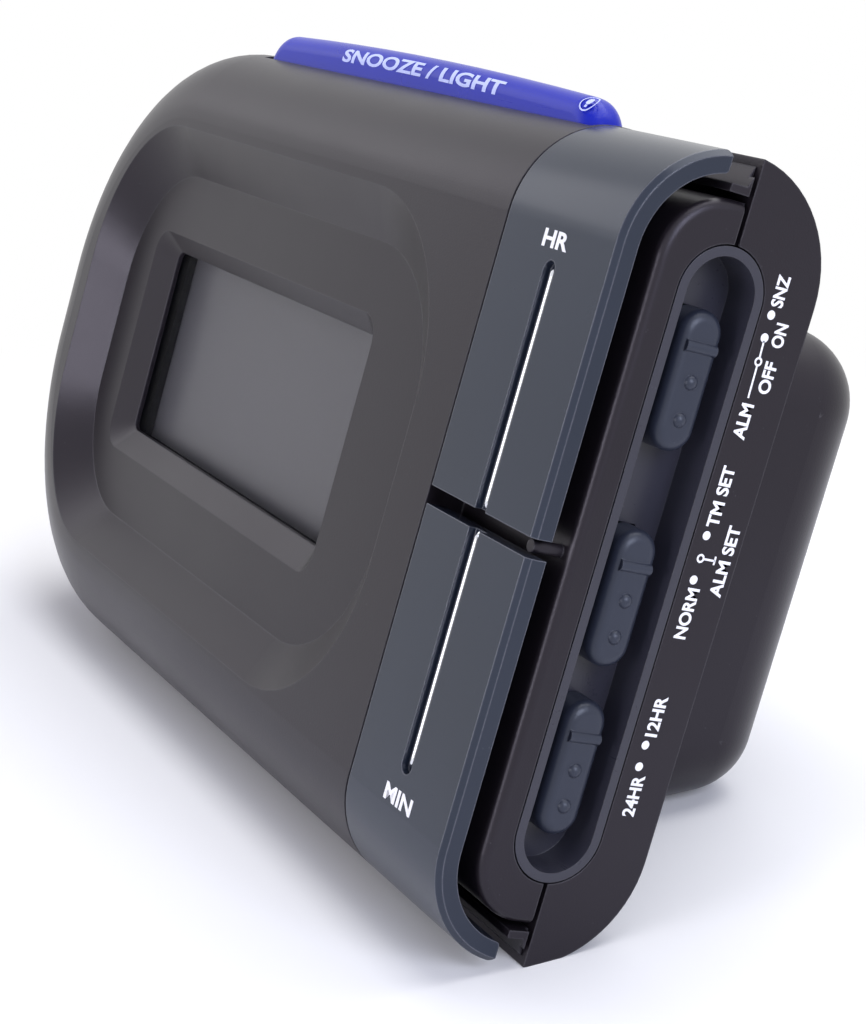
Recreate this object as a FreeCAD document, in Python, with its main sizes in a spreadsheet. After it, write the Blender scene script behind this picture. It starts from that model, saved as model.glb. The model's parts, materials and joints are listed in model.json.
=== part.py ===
import FreeCAD, Part
import math
import os
import re
import Sketcher

from FreeCAD import Placement, Rotation, Vector

# A digital alarm clock that leans back on its deep rear body, in millimetres.
# Pieces are drawn upright: X to the right, Y to the back from the front face,
# Z up from the base line, X zero at mid width. Each is then leaned back and
# set down, so that the finished clock stands on Z zero.

os.makedirs("parts", exist_ok=True)
doc = FreeCAD.newDocument("alarm_clock")

# Driving dimensions, in millimetres and degrees
sizes = {
    # Case
    "case_width": 130.0,
    "case_height": 75.0,
    "parting_depth": 11.8,
    "body_depth": 21.7,
    "overall_depth": 50.0,
    "corner_radius": 33.0,
    "front_round": 10.2,
    "rear_round_start": 10.5,
    "wall": 2.0,
    "parting_gap": 0.1,
    "lean_angle": 18.0,
    "rest_flat": 0.15,
    # Rear body that the clock leans on
    "bulge_drop": 13.8,
    "bulge_round": 8.0,
    # Sunken surround of the display
    "dish_inset_left": 12.7,
    "dish_inset_right": 6.8,
    "dish_low": 10.6,
    "dish_inset_high": 11.3,
    "dish_corner": 19.0,
    "dish_depth": 3.85,
    "slope_left": 3.8,
    "slope_right": 6.7,
    "slope_low": 4.3,
    "slope_high": 5.5,
    "plateau_corner": 15.0,
    # Window opening and its bevel
    "window_inset_left": 11.1,
    "window_inset_right": 13.45,
    "window_inset_low": 10.6,
    "window_inset_high": 9.6,
    "window_corner": 1.2,
    "window_depth": 5.3,
    "bevel_left": 4.3,
    "bevel_right": 1.45,
    "bevel_low": 3.0,
    "bevel_high": 2.1,
    "bevel_corner": 3.0,
    # Display stack behind the window
    "pane_thickness": 1.2,
    "pane_lap": 3.0,
    "frame_front": 1.0,
    "frame_side": 6.0,
    "frame_view_gap": 0.6,
    "glass_lap_x": 3.2,
    "glass_lap_z": 4.4,
    "glass_thickness": 2.0,
    "guide_thickness": 2.0,
    "guide_side": 2.4,
    "strip_thickness": 2.3,
    "seat_gap": 0.05,
    # Circuit board
    "board_front": 14.0,
    "board_thickness": 1.2,
    "board_inset_left": 21.0,
    "board_inset_right": 10.2,
    "board_low": 11.0,
    "board_inset_high": 12.0,
    "post_inset_left": 25.0,
    "post_inset_right": 34.0,
    "post_low": 13.6,
    "post_inset_high": 14.6,
    "post_radius": 2.3,
    "screw_play": 0.05,
    "board_screw_radius": 0.95,
    # Case screws, their x and z
    "screw_inset_left": 15.0,
    "screw_inset_right": 14.0,
    "screw_left_low": 24.0,
    "screw_right_low": 27.0,
    "boss_radius": 3.0,
    "boss_bore": 2.8,
    "boss_wall": 0.95,
    "case_screw_radius": 1.45,
    "screw_head_radius": 2.5,
    "screw_head_height": 1.9,
    "screw_head_depth": 5.0,
    "screw_reach": 5.0,
    # Keys on the right of the front
    "key_width": 19.2,
    "key_thickness": 2.0,
    "key_reach": 8.75,
    "key_split_share": 0.5053,
    "key_gap": 1.75,
    "seam_gap": 0.3,
    "key_bevel": 0.5,
    "key_tip_round": 0.5,
    "step_clearance": 2.1,
    "step_edge_round": 0.9,
    "lip_front": 9.2,
    "lip_bend": 10.9,
    "lip_inner": 3.5,
    "lip_outer": 2.75,
    "lip_rear": 0.6,
    "seam_groove_width": 0.5,
    "seam_groove_depth": 0.8,
    "groove_inset": 9.7,
    "groove_width": 1.9,
    "groove_depth": 0.8,
    "groove_low": 13.75,
    "groove_inset_high": 13.3,
    "key_travel": 1.5,
    "plunger_inset": 14.5,
    "plunger_end": 17.0,
    "plunger_radius": 1.7,
    "peg_radius": 1.2,
    "peg_hook": 0.45,
    "peg_outer_end": 12.2,
    "peg_inner_gap": 4.4,
    "guide_play": 0.3,
    "pad_height": 4.4,
    "pad_base_radius": 3.6,
    "pad_top_radius": 1.9,
    "stop_radius": 0.6,
    "stop_inset": 1.9,
    # Snooze bar on top
    "bar_inset_left": 35.2,
    "bar_inset_right": 1.0,
    "bar_front": 6.7,
    "bar_back": 11.5,
    "bar_rise": 3.05,
    "bar_crown_radius": 950.0,
    "bar_depth": 4.4,
    "bar_round": 2.1,
    "bar_end_round": 4.2,
    "bar_wall": 1.2,
    "bar_tab": 1.3,
    "bar_tab_height": 1.9,
    "bar_travel": 1.5,
    "slot_play": 0.3,
    "spring_inset": 11.45,
    "spring_radius": 2.0,
    "spring_wire": 0.4,
    "shelf_depth": 10.0,
    "shelf_thickness": 1.5,
    "shelf_half_width": 4.0,
    "shelf_back": 11.3,
    # Tray of the slide switches on the right-hand side
    "tray_centre": 11.45,
    "tray_width": 9.1,
    "tray_low": 8.3,
    "tray_inset_high": 7.9,
    "tray_depth": 4.0,
    "tray_floor": 1.0,
    "tray_wall": 0.9,
    "tray_flange": 0.6,
    "tray_flange_thickness": 1.0,
    "tray_play": 0.15,
    "knob_width": 4.4,
    "knob_length": 12.8,
    "knob_sink": 0.6,
    "knob_play": 0.2,
    "knob_round": 1.1,
    "ridge_offset": 3.3,
    "ridge_radius": 0.55,
    "bump_first": 6.4,
    "bump_pitch": 3.4,
    "bump_radius": 0.75,
    "switch_pitch": 2.1,
    "alarm_share": 0.7313,
    "mode_share": 0.464,
    "hour_share": 0.2507,
    "stem_length": 4.0,
    "stem_width": 2.0,
    "wiper_thickness": 0.3,
    "switch_board_gap": 2.3,
    "switch_post_low_share": 0.3547,
    "switch_post_high_share": 0.608,
    "switch_post_radius": 1.6,
    # Battery bay in the rear body
    "cell_radius": 7.25,
    "cell_length": 50.5,
    "cell_height": 29.2,
    "cell_nub_radius": 2.7,
    "cell_nub_length": 1.0,
    "bay_play": 0.35,
    "bay_spring_room": 6.2,
    "bay_plate_room": 1.6,
    "bay_wall": 1.5,
    "ledge_x": 4.0,
    "ledge_z": 2.0,
    "door_play": 0.25,
    "door_thickness": 1.9,
    "hinge_pin_radius": 0.5,
    "hinge_pin_length": 1.3,
    "hinge_play": 0.06,
    "contact_size": 11.0,
    "contact_thickness": 0.4,
    "tail_width": 3.0,
    "tail_reach": 3.0,
    "coil_wire": 0.8,
    # Buzzer under the top of the rear body
    "buzzer_x": -20.0,
    "buzzer_depth": 32.5,
    "buzzer_radius": 10.0,
    "buzzer_thickness": 0.4,
    "buzzer_step": 0.6,
    "buzzer_ring_wall": 1.3,
    "buzzer_ring_height": 1.9,
    "sound_hole_radius": 0.8,
    "sound_ring_radius": 4.2,
    # Wires
    "lead_radius": 0.6,
    "lead_bend": 3.5,
    "lead_out": 5.0,
    "lead_side": 4.0,
    "lead_drop": 6.0,
    "buzzer_lead_drop": 7.0,
    "buzzer_lead_spread": 1.5,
    # Parts on the board
    "chip_across": -12.0,
    "chip_up": 40.0,
    "chip_half_width": 7.5,
    "chip_half_height": 6.5,
    "chip_dome": 2.4,
    "crystal_across": 4.0,
    "crystal_low": 44.0,
    "crystal_length": 6.2,
    "crystal_radius": 1.05,
    "capacitor_across": 16.0,
    "capacitor_up": 24.0,
    "capacitor_radius": 2.6,
    "capacitor_length": 5.0,
    "resistor_across": 20.0,
    "resistor_low": 44.0,
    "resistor_pitch_x": 4.0,
    "resistor_pitch_z": 5.0,
    "resistor_width": 1.6,
    "resistor_length": 3.2,
    "resistor_thickness": 0.6,
    "tact_half_width": 3.2,
    "tact_depth": 5.2,
    "tact_button_inset": 1.75,
    "tact_lap": 3.0,
    "tact_rise": 2.6,
    "tact_button_radius": 1.4,
    "board_head_radius": 1.8,
    "board_head_height": 1.2,
    "ribbon_width": 6.0,
    "ribbon_drop": 2.3,
    "ribbon_lap": 8.0,
    "ribbon_thickness": 0.3,
}

sheet = doc.addObject("Spreadsheet::Sheet", "Sizes")
for row, (alias, number) in enumerate(sizes.items(), 1):
    sheet.set("A%d" % row, alias)
    sheet.set("B%d" % row, str(number))
    sheet.setAlias("B%d" % row, alias)
doc.recompute()

# Places that follow from the driving dimensions
places = {
    "dish_left": "(dish_inset_left - case_width / 2)",
    "dish_right": "(case_width / 2 - key_width - dish_inset_right)",
    "dish_high": "(case_height - dish_inset_high)",
    "window_left": "(dish_left + slope_left + window_inset_left)",
    "window_right": "(dish_right - slope_right - window_inset_right)",
    "window_low": "(dish_low + slope_low + window_inset_low)",
    "window_high": "(dish_high - slope_high - window_inset_high)",
    "board_left": "(board_inset_left - case_width / 2)",
    "board_right": "(case_width / 2 - board_inset_right)",
    "board_high": "(case_height - board_inset_high)",
    "post_left": "(post_inset_left - case_width / 2)",
    "post_right": "(case_width / 2 - post_inset_right)",
    "post_high": "(case_height - post_inset_high)",
    "screw_left": "(screw_inset_left - case_width / 2)",
    "screw_right": "(case_width / 2 - screw_inset_right)",
    "screw_left_high": "(case_height - screw_left_low)",
    "screw_right_high": "(case_height - screw_right_low)",
    "bulge_width": "(case_width - 2 * key_width)",
    "bulge_top": "(case_height - bulge_drop)",
    "key_split": "(case_height * key_split_share)",
    "rear_round": "(body_depth - rear_round_start)",
    "ribbon_low": "(case_height / 2 - ribbon_drop)",
    "groove_high": "(case_height - groove_inset_high)",
    "bar_left": "(bar_inset_left - case_width / 2)",
    "bar_right": "(case_width / 2 - key_width - bar_inset_right)",
    "bar_end_left": "(bar_left + bar_end_round)",
    "bar_end_right": "(bar_right - bar_end_round)",
    "bar_crown_height": "(case_height + bar_rise - bar_crown_radius)",
    "bar_width": "(bar_right - bar_left)",
    "bar_centre": "((bar_left + bar_right) / 2)",
    "bar_base": "(case_height - bar_depth)",
    "spring_spread": "(bar_width / 2 - spring_inset)",
    "spring_shelf_height": "(case_height - shelf_depth)",
    "tray_high": "(case_height - tray_inset_high)",
    "alarm_height": "(case_height * alarm_share)",
    "mode_height": "(case_height * mode_share)",
    "hour_height": "(case_height * hour_share)",
    "switch_post_low": "(case_height * switch_post_low_share)",
    "switch_post_high": "(case_height * switch_post_high_share)",
}


def word_pattern(words):
    return re.compile(r"\b(" + "|".join(sorted(words, key=len, reverse=True)) + r")\b")


alias_words = word_pattern(sizes)
place_words = word_pattern(places)


def in_sizes(expression):
    """An expression with each named place written out in driving dimensions."""
    while place_words.search(expression):
        expression = place_words.sub(lambda word: places[word.group(0)], expression)
    return expression


# Depths and heights that several pieces share
side = "(case_width / 2)"
seam = "(case_width / 2 - key_width)"
step_depth = "(key_thickness + step_clearance)"
rear_centre = "rear_round_start"
pane_front = "(dish_depth + wall + seat_gap)"
frame_face = f"({pane_front} + pane_thickness + seat_gap)"
glass_front = f"({frame_face} + frame_front + seat_gap)"
guide_front = f"({glass_front} + glass_thickness + seat_gap)"
board_back = "(board_front + board_thickness)"
frame_left = "(window_left - frame_side)"
frame_right = "(window_right + frame_side)"
frame_low = "(window_low - frame_side - 1.5 * wall)"
frame_high = "(window_high + frame_side + 1.5 * wall)"
glass_left = "(window_left - glass_lap_x)"
glass_right = "(window_right + glass_lap_x)"
glass_low = "(window_low - glass_lap_z)"
glass_high = "(window_high + glass_lap_z)"
rear_inner = "(overall_depth - wall)"
tray_back = f"({side} - tray_depth - tray_floor)"
switch_face = f"({tray_back} - switch_board_gap)"
bay_low = "(cell_height - cell_radius - bay_play)"
bay_high = "(cell_height + cell_radius + bay_play)"
bay_front = f"({rear_inner} - 2 * cell_radius - 2 * bay_play)"
bay_half = "(cell_length / 2 + (bay_spring_room + bay_plate_room) / 2)"
cell_depth = f"({bay_front} + cell_radius + bay_play)"
door_low = f"({bay_low} - ledge_z)"
door_high = f"({bay_high} + ledge_z)"
door_half = f"({bay_half} + ledge_x)"
bulge_inner_top = "(bulge_top - wall)"
plunger_x = f"({side} - plunger_inset)"


def rest_line(depth, lift="0"):
    """Height of the plane that the clock rests on, at a depth behind the front face."""
    tangent = f"(rear_round + (rest_flat + {lift} - rear_round) / cos(lean_angle)"
    return tangent + f" + (({depth}) - {rear_centre}) * tan(lean_angle))"


def value(expression):
    return float(sheet.evalExpression(in_sizes(expression)))


def bind(item, path, expression):
    item.setExpression(path, alias_words.sub(lambda word: "Sizes." + word.group(0), in_sizes(expression)))


# Sketch and feature helpers
def new_body(name):
    body = doc.addObject("PartDesign::Body", name)
    body.Label = name
    return body


def sketch_on(body, plane, offset="0"):
    """A sketch on XZ at a depth, on YZ at an x, or on XY at a height."""
    sketch = body.newObject("Sketcher::SketchObject", body.Name + "_sketch")
    origin_plane = [item for item in body.Origin.OriginFeatures if item.Role == plane + "_Plane"][0]
    sketch.AttachmentSupport = [(origin_plane, "")]
    sketch.MapMode = "FlatFace"
    sign = "-1" if plane == "XZ" else "1"
    bind(sketch, "AttachmentOffset.Base.z", f"{sign} * ({offset})")
    return sketch


def fix(sketch, kind, edge, end, expression):
    number = sketch.addConstraint(Sketcher.Constraint(kind, -1, 1, edge, end, value(expression)))
    bind(sketch, "Constraints[%d]" % number, expression)


def fix_point(sketch, edge, end, across, up):
    fix(sketch, "DistanceX", edge, end, across)
    fix(sketch, "DistanceY", edge, end, up)


def outline(sketch, corners, arcs=None):
    """A closed outline; arcs gives, by edge number, centre, radius and turn (1 left, -1 right)."""
    arcs = arcs or {}
    first = sketch.GeometryCount
    points = [Vector(value(across), value(up), 0) for across, up in corners]
    count = len(points)
    for index, start in enumerate(points):
        end = points[(index + 1) % count]
        if index not in arcs:
            sketch.addGeometry(Part.LineSegment(start, end))
            continue
        centre, radius, turn = arcs[index]
        middle = Vector(value(centre[0]), value(centre[1]), 0)
        begin, finish = [math.atan2(p.y - middle.y, p.x - middle.x) for p in (start, end)]
        if turn < 0:
            begin, finish = finish, begin
        circle = Part.Circle(middle, Vector(0, 0, 1), value(radius))
        sketch.addGeometry(Part.ArcOfCircle(circle, begin, finish if finish > begin else finish + 2 * math.pi))
    for index in range(count):
        turn = arcs[index][2] if index in arcs else 1
        previous = (index - 1) % count
        previous_turn = arcs[previous][2] if previous in arcs else 1
        start_end = 1 if turn > 0 else 2
        finish_end = 2 if previous_turn > 0 else 1
        joint = ("Coincident", first + previous, finish_end, first + index, start_end)
        sketch.addConstraint(Sketcher.Constraint(*joint))
        fix_point(sketch, first + index, start_end, *corners[index])
    for index, (centre, radius, turn) in arcs.items():
        chord = points[(index + 1) % count] - points[index]
        if abs(chord.x) > abs(chord.y):
            fix(sketch, "DistanceY", first + index, 3, centre[1])
        else:
            fix(sketch, "DistanceX", first + index, 3, centre[0])


def rectangle(sketch, left, low, right, high):
    outline(sketch, [(left, low), (right, low), (right, high), (left, high)])


def rounded(sketch, left, low, right, high, radius, right_square=False):
    """A rectangle with rounded corners; the two right-hand corners can stay square."""
    inner_left, inner_low, inner_high = f"{left} + {radius}", f"{low} + {radius}", f"{high} - {radius}"
    inner_right = f"{right} - {radius}"
    if right_square:
        corners = [(inner_left, low), (right, low), (right, high), (inner_left, high)]
        corners += [(left, inner_high), (left, inner_low)]
        arcs = {3: ((inner_left, inner_high), radius, 1), 5: ((inner_left, inner_low), radius, 1)}
    else:
        corners = [(inner_left, low), (inner_right, low), (right, inner_low), (right, inner_high)]
        corners += [(inner_right, high), (inner_left, high), (left, inner_high), (left, inner_low)]
        arcs = {
            1: ((inner_right, inner_low), radius, 1),
            3: ((inner_right, inner_high), radius, 1),
            5: ((inner_left, inner_high), radius, 1),
            7: ((inner_left, inner_low), radius, 1),
        }
    outline(sketch, corners, arcs)


def racetrack(sketch, middle, low, high, radius):
    """An upright slot with half-round ends."""
    left, right = f"{middle} - {radius}", f"{middle} + {radius}"
    bottom, top = f"{low} + {radius}", f"{high} - {radius}"
    corners = [(left, bottom), (right, bottom), (right, top), (left, top)]
    outline(sketch, corners, {0: ((middle, bottom), radius, 1), 2: ((middle, top), radius, 1)})


def circle(sketch, across, up, radius):
    centre = Vector(value(across), value(up), 0)
    index = sketch.addGeometry(Part.Circle(centre, Vector(0, 0, 1), value(radius)))
    fix_point(sketch, index, 3, across, up)
    number = sketch.addConstraint(Sketcher.Constraint("Radius", index, value(radius)))
    bind(sketch, "Constraints[%d]" % number, radius)


def extrude(body, kind, sketch, length, away=False):
    """A Pad or Pocket; away turns it against its usual direction."""
    feature = body.newObject("PartDesign::" + kind, body.Name + "_step")
    feature.Profile = sketch
    bind(feature, "Length", length)
    feature.Reversed = away
    return feature


def loft(body, kind, sketches):
    feature = body.newObject("PartDesign::" + kind, body.Name + "_loft")
    feature.Profile = sketches[0]
    feature.Sections = sketches[1:]
    feature.Ruled = True
    return feature


def round_edges(body, radius, pick, kind="Fillet"):
    doc.recompute()
    base = body.Tip
    names = ["Edge%d" % (index + 1) for index, edge in enumerate(base.Shape.Edges) if pick(edge)]
    feature = body.newObject("PartDesign::" + kind, body.Name + "_" + kind.lower())
    feature.Base = (base, names)
    bind(feature, "Radius" if kind == "Fillet" else "Size", radius)
    return feature


def at(edge, axis, place):
    """True where the whole edge lies at a place on an axis."""
    points = [vertex.Point for vertex in edge.Vertexes]
    points.append(edge.valueAt((edge.FirstParameter + edge.LastParameter) / 2))
    return all(abs(getattr(point, axis) - place) < 0.01 for point in points)


def block(name, low, high):
    """A box between two opposite corners, given as expressions."""
    box = doc.addObject("Part::Box", name)
    for axis, length, start, end in zip("xyz", ("Length", "Width", "Height"), low, high):
        bind(box, length, f"({end}) - ({start})")
        bind(box, "Placement.Base." + axis, start)
    return box


def rod(name, axis, centre, radius, start, end):
    """A cylinder along an axis between two places; centre gives the other two coordinates in order."""
    cylinder = doc.addObject("Part::Cylinder", name)
    turns = {"x": Rotation(Vector(0, 1, 0), 90), "y": Rotation(Vector(1, 0, 0), -90), "z": Rotation()}
    cylinder.Placement = Placement(Vector(), turns[axis])
    bind(cylinder, "Radius", radius)
    bind(cylinder, "Height", f"({end}) - ({start})")
    others = [letter for letter in "xyz" if letter != axis]
    bind(cylinder, "Placement.Base." + axis, start)
    for letter, expression in zip(others, centre):
        bind(cylinder, "Placement.Base." + letter, expression)
    return cylinder


def cone(name, axis, centre, radius_low, radius_high, start, end):
    piece = doc.addObject("Part::Cone", name)
    turns = {"x": Rotation(Vector(0, 1, 0), 90), "y": Rotation(Vector(1, 0, 0), -90), "z": Rotation()}
    piece.Placement = Placement(Vector(), turns[axis])
    bind(piece, "Radius1", radius_low)
    bind(piece, "Radius2", radius_high)
    bind(piece, "Height", f"({end}) - ({start})")
    others = [letter for letter in "xyz" if letter != axis]
    bind(piece, "Placement.Base." + axis, start)
    for letter, expression in zip(others, centre):
        bind(piece, "Placement.Base." + letter, expression)
    return piece


def fuse(name, shapes):
    joined = doc.addObject("Part::MultiFuse", name)
    joined.Shapes = shapes
    joined.Refine = True
    joined.Label = name
    return joined


def cut(name, base, tool):
    result = doc.addObject("Part::Cut", name)
    result.Base = base
    result.Tool = tool
    result.Refine = True
    result.Label = name
    return result


def group(name, shapes):
    """Separate solids, or a single one, kept together as one piece."""
    compound = doc.addObject("Part::Compound", name)
    compound.Links = shapes
    compound.Label = name
    return compound


pieces = {}


def keep(piece):
    pieces[piece.Label] = piece
    return piece


screw_places = [
    ("screw_left", "screw_left_low"),
    ("screw_left", "screw_left_high"),
    ("screw_right", "screw_right_low"),
    ("screw_right", "screw_right_high"),
]
post_places = [(across, up) for across in ("post_left", "post_right") for up in ("post_low", "post_high")]
shelf_places = [f"(bar_centre + {across} * spring_spread)" for across in (-1, 1)]


def case_outline(sketch, inset, right):
    """The case seen from the front: round at the left end, square at the right."""
    left = f"(-{side} + {inset})"
    radius = f"(corner_radius - {inset})"
    rounded(sketch, left, f"({inset})", right, f"(case_height - {inset})", radius, right_square=True)


def key_places(outer, sign):
    """Heights of a key's plunger and two pegs; outer is the case edge that the key wraps round."""
    inner_peg = f"(key_split - ({sign}) * peg_inner_gap)"
    return f"({outer} + ({sign}) * plunger_end)", f"({outer} + ({sign}) * peg_outer_end)", inner_peg


# Front case
def make_front_hollow():
    """The room inside the front case, left of the keys."""
    body = new_body("front_hollow")
    sketch = sketch_on(body, "XZ", "parting_depth")
    case_outline(sketch, "wall", f"({seam} - wall)")
    extrude(body, "Pad", sketch, "parting_depth - wall")
    front, right = value("wall"), value(f"{seam} - wall")
    round_edges(body, "front_round - wall", lambda edge: at(edge, "y", front) and not at(edge, "x", right))
    return body


def make_front_case():
    body = new_body("front_case")
    sketch = sketch_on(body, "XZ", "parting_depth - parting_gap")
    case_outline(sketch, "0", side)
    extrude(body, "Pad", sketch, "parting_depth - parting_gap")
    right = value(side)
    round_edges(body, "front_round", lambda edge: at(edge, "y", 0) and not at(edge, "x", right))
    hollow = body.newObject("PartDesign::Boolean", "front_case_hollow")
    hollow.setObjects([make_front_hollow()])
    hollow.Type = "Cut"
    # Room for the keys, which leaves a stepped wall behind them and a thin lip at top and bottom
    sketch = sketch_on(body, "YZ", f"{side} + wall")
    back, beyond = "parting_depth", "(case_height + wall)"
    corners = [("-wall", "-wall"), (back, "-wall"), (back, "lip_rear"), ("lip_bend", "lip_outer")]
    corners += [("lip_front", "lip_outer"), ("lip_front", "lip_inner"), (back, "lip_inner"), (back, step_depth)]
    corners += [("front_round", step_depth), (step_depth, "front_round")]
    corners += [(across, f"(case_height - {up})") for across, up in reversed(corners[1:])]
    corners.append(("-wall", beyond))
    inner = f"(front_round - {step_depth})"
    arcs = {
        8: (("front_round", "front_round"), inner, -1),
        10: (("front_round", "(case_height - front_round)"), inner, -1),
    }
    outline(sketch, corners, arcs)
    extrude(body, "Pocket", sketch, "key_width + wall")
    far, step_back = value(side), value("parting_depth - parting_gap")
    low, high = value("lip_inner") + 0.1, value("case_height - lip_inner") - 0.1

    def step_edge(edge):
        return at(edge, "x", far) and low < edge.CenterOfMass.z < high and not at(edge, "y", step_back)

    round_edges(body, "step_edge_round", step_edge)
    # Hollow behind the step
    sketch = sketch_on(body, "YZ", f"{side} - wall")
    inside = f"({step_depth} + wall)"
    corners = [("parting_depth", inside), ("parting_depth", f"(case_height - {inside})")]
    corners += [("front_round", f"(case_height - {inside})"), (inside, "(case_height - front_round)")]
    corners += [(inside, "front_round"), ("front_round", inside)]
    arcs = {
        2: (("front_round", "(case_height - front_round)"), f"(front_round - {inside})", 1),
        4: (("front_round", "front_round"), f"(front_round - {inside})", 1),
    }
    outline(sketch, corners, arcs)
    extrude(body, "Pocket", sketch, "key_width")
    # Dark line where the two shells meet beside the tray
    sketch = sketch_on(body, "YZ", f"{side} + wall")
    rectangle(sketch, "parting_depth - seam_groove_width", "-wall", "parting_depth", beyond)
    extrude(body, "Pocket", sketch, "seam_groove_depth + wall")
    # Backing of the sunken surround
    rim = ("dish_left", "dish_low", "dish_right", "dish_high", "dish_corner")
    plateau = ("(dish_left + slope_left)", "(dish_low + slope_low)", "(dish_right - slope_right)")
    plateau += ("(dish_high - slope_high)", "plateau_corner")
    outer, inner = sketch_on(body, "XZ", "wall / 2"), sketch_on(body, "XZ", "dish_depth + wall")
    rounded(outer, *rim)
    rounded(
        inner,
        f"({plateau[0]} - wall)",
        f"({plateau[1]} - wall)",
        f"({plateau[2]} + wall)",
        f"({plateau[3]} + wall)",
        "(plateau_corner + wall)",
    )
    loft(body, "AdditiveLoft", [outer, inner])
    # Screw bosses, board posts and spring shelves
    for tubes, start in ((screw_places[:2], "0.75 * wall"), (screw_places[2:], f"({step_depth} + wall / 2)")):
        sketch = sketch_on(body, "XZ", "parting_depth - parting_gap")
        for across, up in tubes:
            circle(sketch, across, up, "boss_radius")
        extrude(body, "Pad", sketch, f"parting_depth - parting_gap - {start}")
    sketch = sketch_on(body, "XZ", "board_front")
    for across, up in post_places:
        circle(sketch, across, up, "post_radius")
    extrude(body, "Pad", sketch, "board_front - 0.75 * wall")
    sketch = sketch_on(body, "XZ", "shelf_back")
    for across in shelf_places:
        low = "spring_shelf_height - shelf_thickness"
        rectangle(
            sketch, f"{across} - shelf_half_width", low, f"{across} + shelf_half_width", "spring_shelf_height"
        )
    extrude(body, "Pad", sketch, "shelf_back - 0.75 * wall")
    # Screw holes
    for holes, radius, depth, back in (
        (screw_places, "case_screw_radius", "parting_depth - screw_reach", "parting_depth"),
        (post_places, "board_screw_radius", "board_front - dish_depth - 1.5 * wall", "board_front"),
    ):
        sketch = sketch_on(body, "XZ", back)
        for across, up in holes:
            circle(sketch, across, up, f"{radius} + screw_play")
        extrude(body, "Pocket", sketch, depth, away=True)
    # The sunken surround, the bevel of the window and its opening
    outer, inner = sketch_on(body, "XZ", "0"), sketch_on(body, "XZ", "dish_depth")
    rounded(outer, *rim)
    rounded(inner, *plateau)
    loft(body, "SubtractiveLoft", [outer, inner])
    window = ("window_left", "window_low", "window_right", "window_high", "window_corner")
    outer, inner = sketch_on(body, "XZ", "dish_depth"), sketch_on(body, "XZ", "window_depth")
    rounded(
        outer,
        "(window_left - bevel_left)",
        "(window_low - bevel_low)",
        "(window_right + bevel_right)",
        "(window_high + bevel_high)",
        "bevel_corner",
    )
    rounded(inner, *window)
    loft(body, "SubtractiveLoft", [outer, inner])
    sketch = sketch_on(body, "XZ", "dish_depth")
    rounded(sketch, *window)
    extrude(body, "Pocket", sketch, "2 * wall")
    # Holes that guide the keys
    sketch = sketch_on(body, "XZ", f"{step_depth} - wall")
    for outer_edge, sign in (("0", "1"), ("case_height", "-1")):
        plunger, outer_peg, inner_peg = key_places(outer_edge, sign)
        circle(sketch, plunger_x, plunger, "plunger_radius + guide_play")
        circle(sketch, plunger_x, outer_peg, "peg_radius + guide_play")
        circle(sketch, plunger_x, inner_peg, "peg_radius + guide_play")
    extrude(body, "Pocket", sketch, "2.5 * wall")
    # Stop post between the keys
    sketch = sketch_on(body, "XZ", f"{step_depth} + wall / 2")
    circle(sketch, f"{side} - stop_inset", "key_split", "stop_radius")
    extrude(body, "Pad", sketch, f"{step_depth} + wall / 2 - key_thickness / 2")
    # Slot for the snooze bar
    sketch = sketch_on(body, "XY", "case_height + wall")
    bar_half = "(bar_width / 2 + slot_play)"
    rectangle(
        sketch,
        f"bar_centre - {bar_half}",
        "bar_front - slot_play",
        f"bar_centre + {bar_half}",
        "parting_depth + wall",
    )
    extrude(body, "Pocket", sketch, "wall + bar_depth + bar_travel + slot_play")
    # Half of the opening for the tray
    sketch = sketch_on(body, "YZ", f"{side} + wall")
    racetrack(
        sketch,
        "tray_centre",
        "tray_low - tray_play",
        "tray_high + tray_play",
        "(tray_width / 2 + tray_play)",
    )
    extrude(body, "Pocket", sketch, "2.5 * wall")
    return keep(body)


# Rear case
def make_slab(name, inset, front, right, rear_radius):
    """The rear half of the case outline, with its back edge rounded except at the right-hand side."""
    body = new_body(name)
    back = f"(body_depth - {inset})"
    sketch = sketch_on(body, "XZ", back)
    case_outline(sketch, inset, right)
    extrude(body, "Pad", sketch, f"{back} - {front}")
    rear_y, right_x = value(back), value(right)
    round_edges(body, rear_radius, lambda edge: at(edge, "y", rear_y) and not at(edge, "x", right_x))
    return body


def make_bulge(name, inset, front):
    """The rear body: a block with a sloped base, rounded at the back and along the sides."""
    body = new_body(name)
    sketch = sketch_on(body, "YZ", "0")
    back, top = f"(overall_depth - {inset})", f"(bulge_top - {inset})"
    corners = [(front, rest_line(front, inset)), (back, rest_line(back, inset)), (back, top), (front, top)]
    outline(sketch, corners)
    pad = extrude(body, "Pad", sketch, f"bulge_width - 2 * {inset}")
    pad.SideType = "Symmetric"
    front_y = value(front)

    def outer_edge(edge):
        return not all(abs(vertex.Point.y - front_y) < 0.01 for vertex in edge.Vertexes)

    round_edges(body, f"bulge_round - {inset}", outer_edge)
    return body


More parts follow.
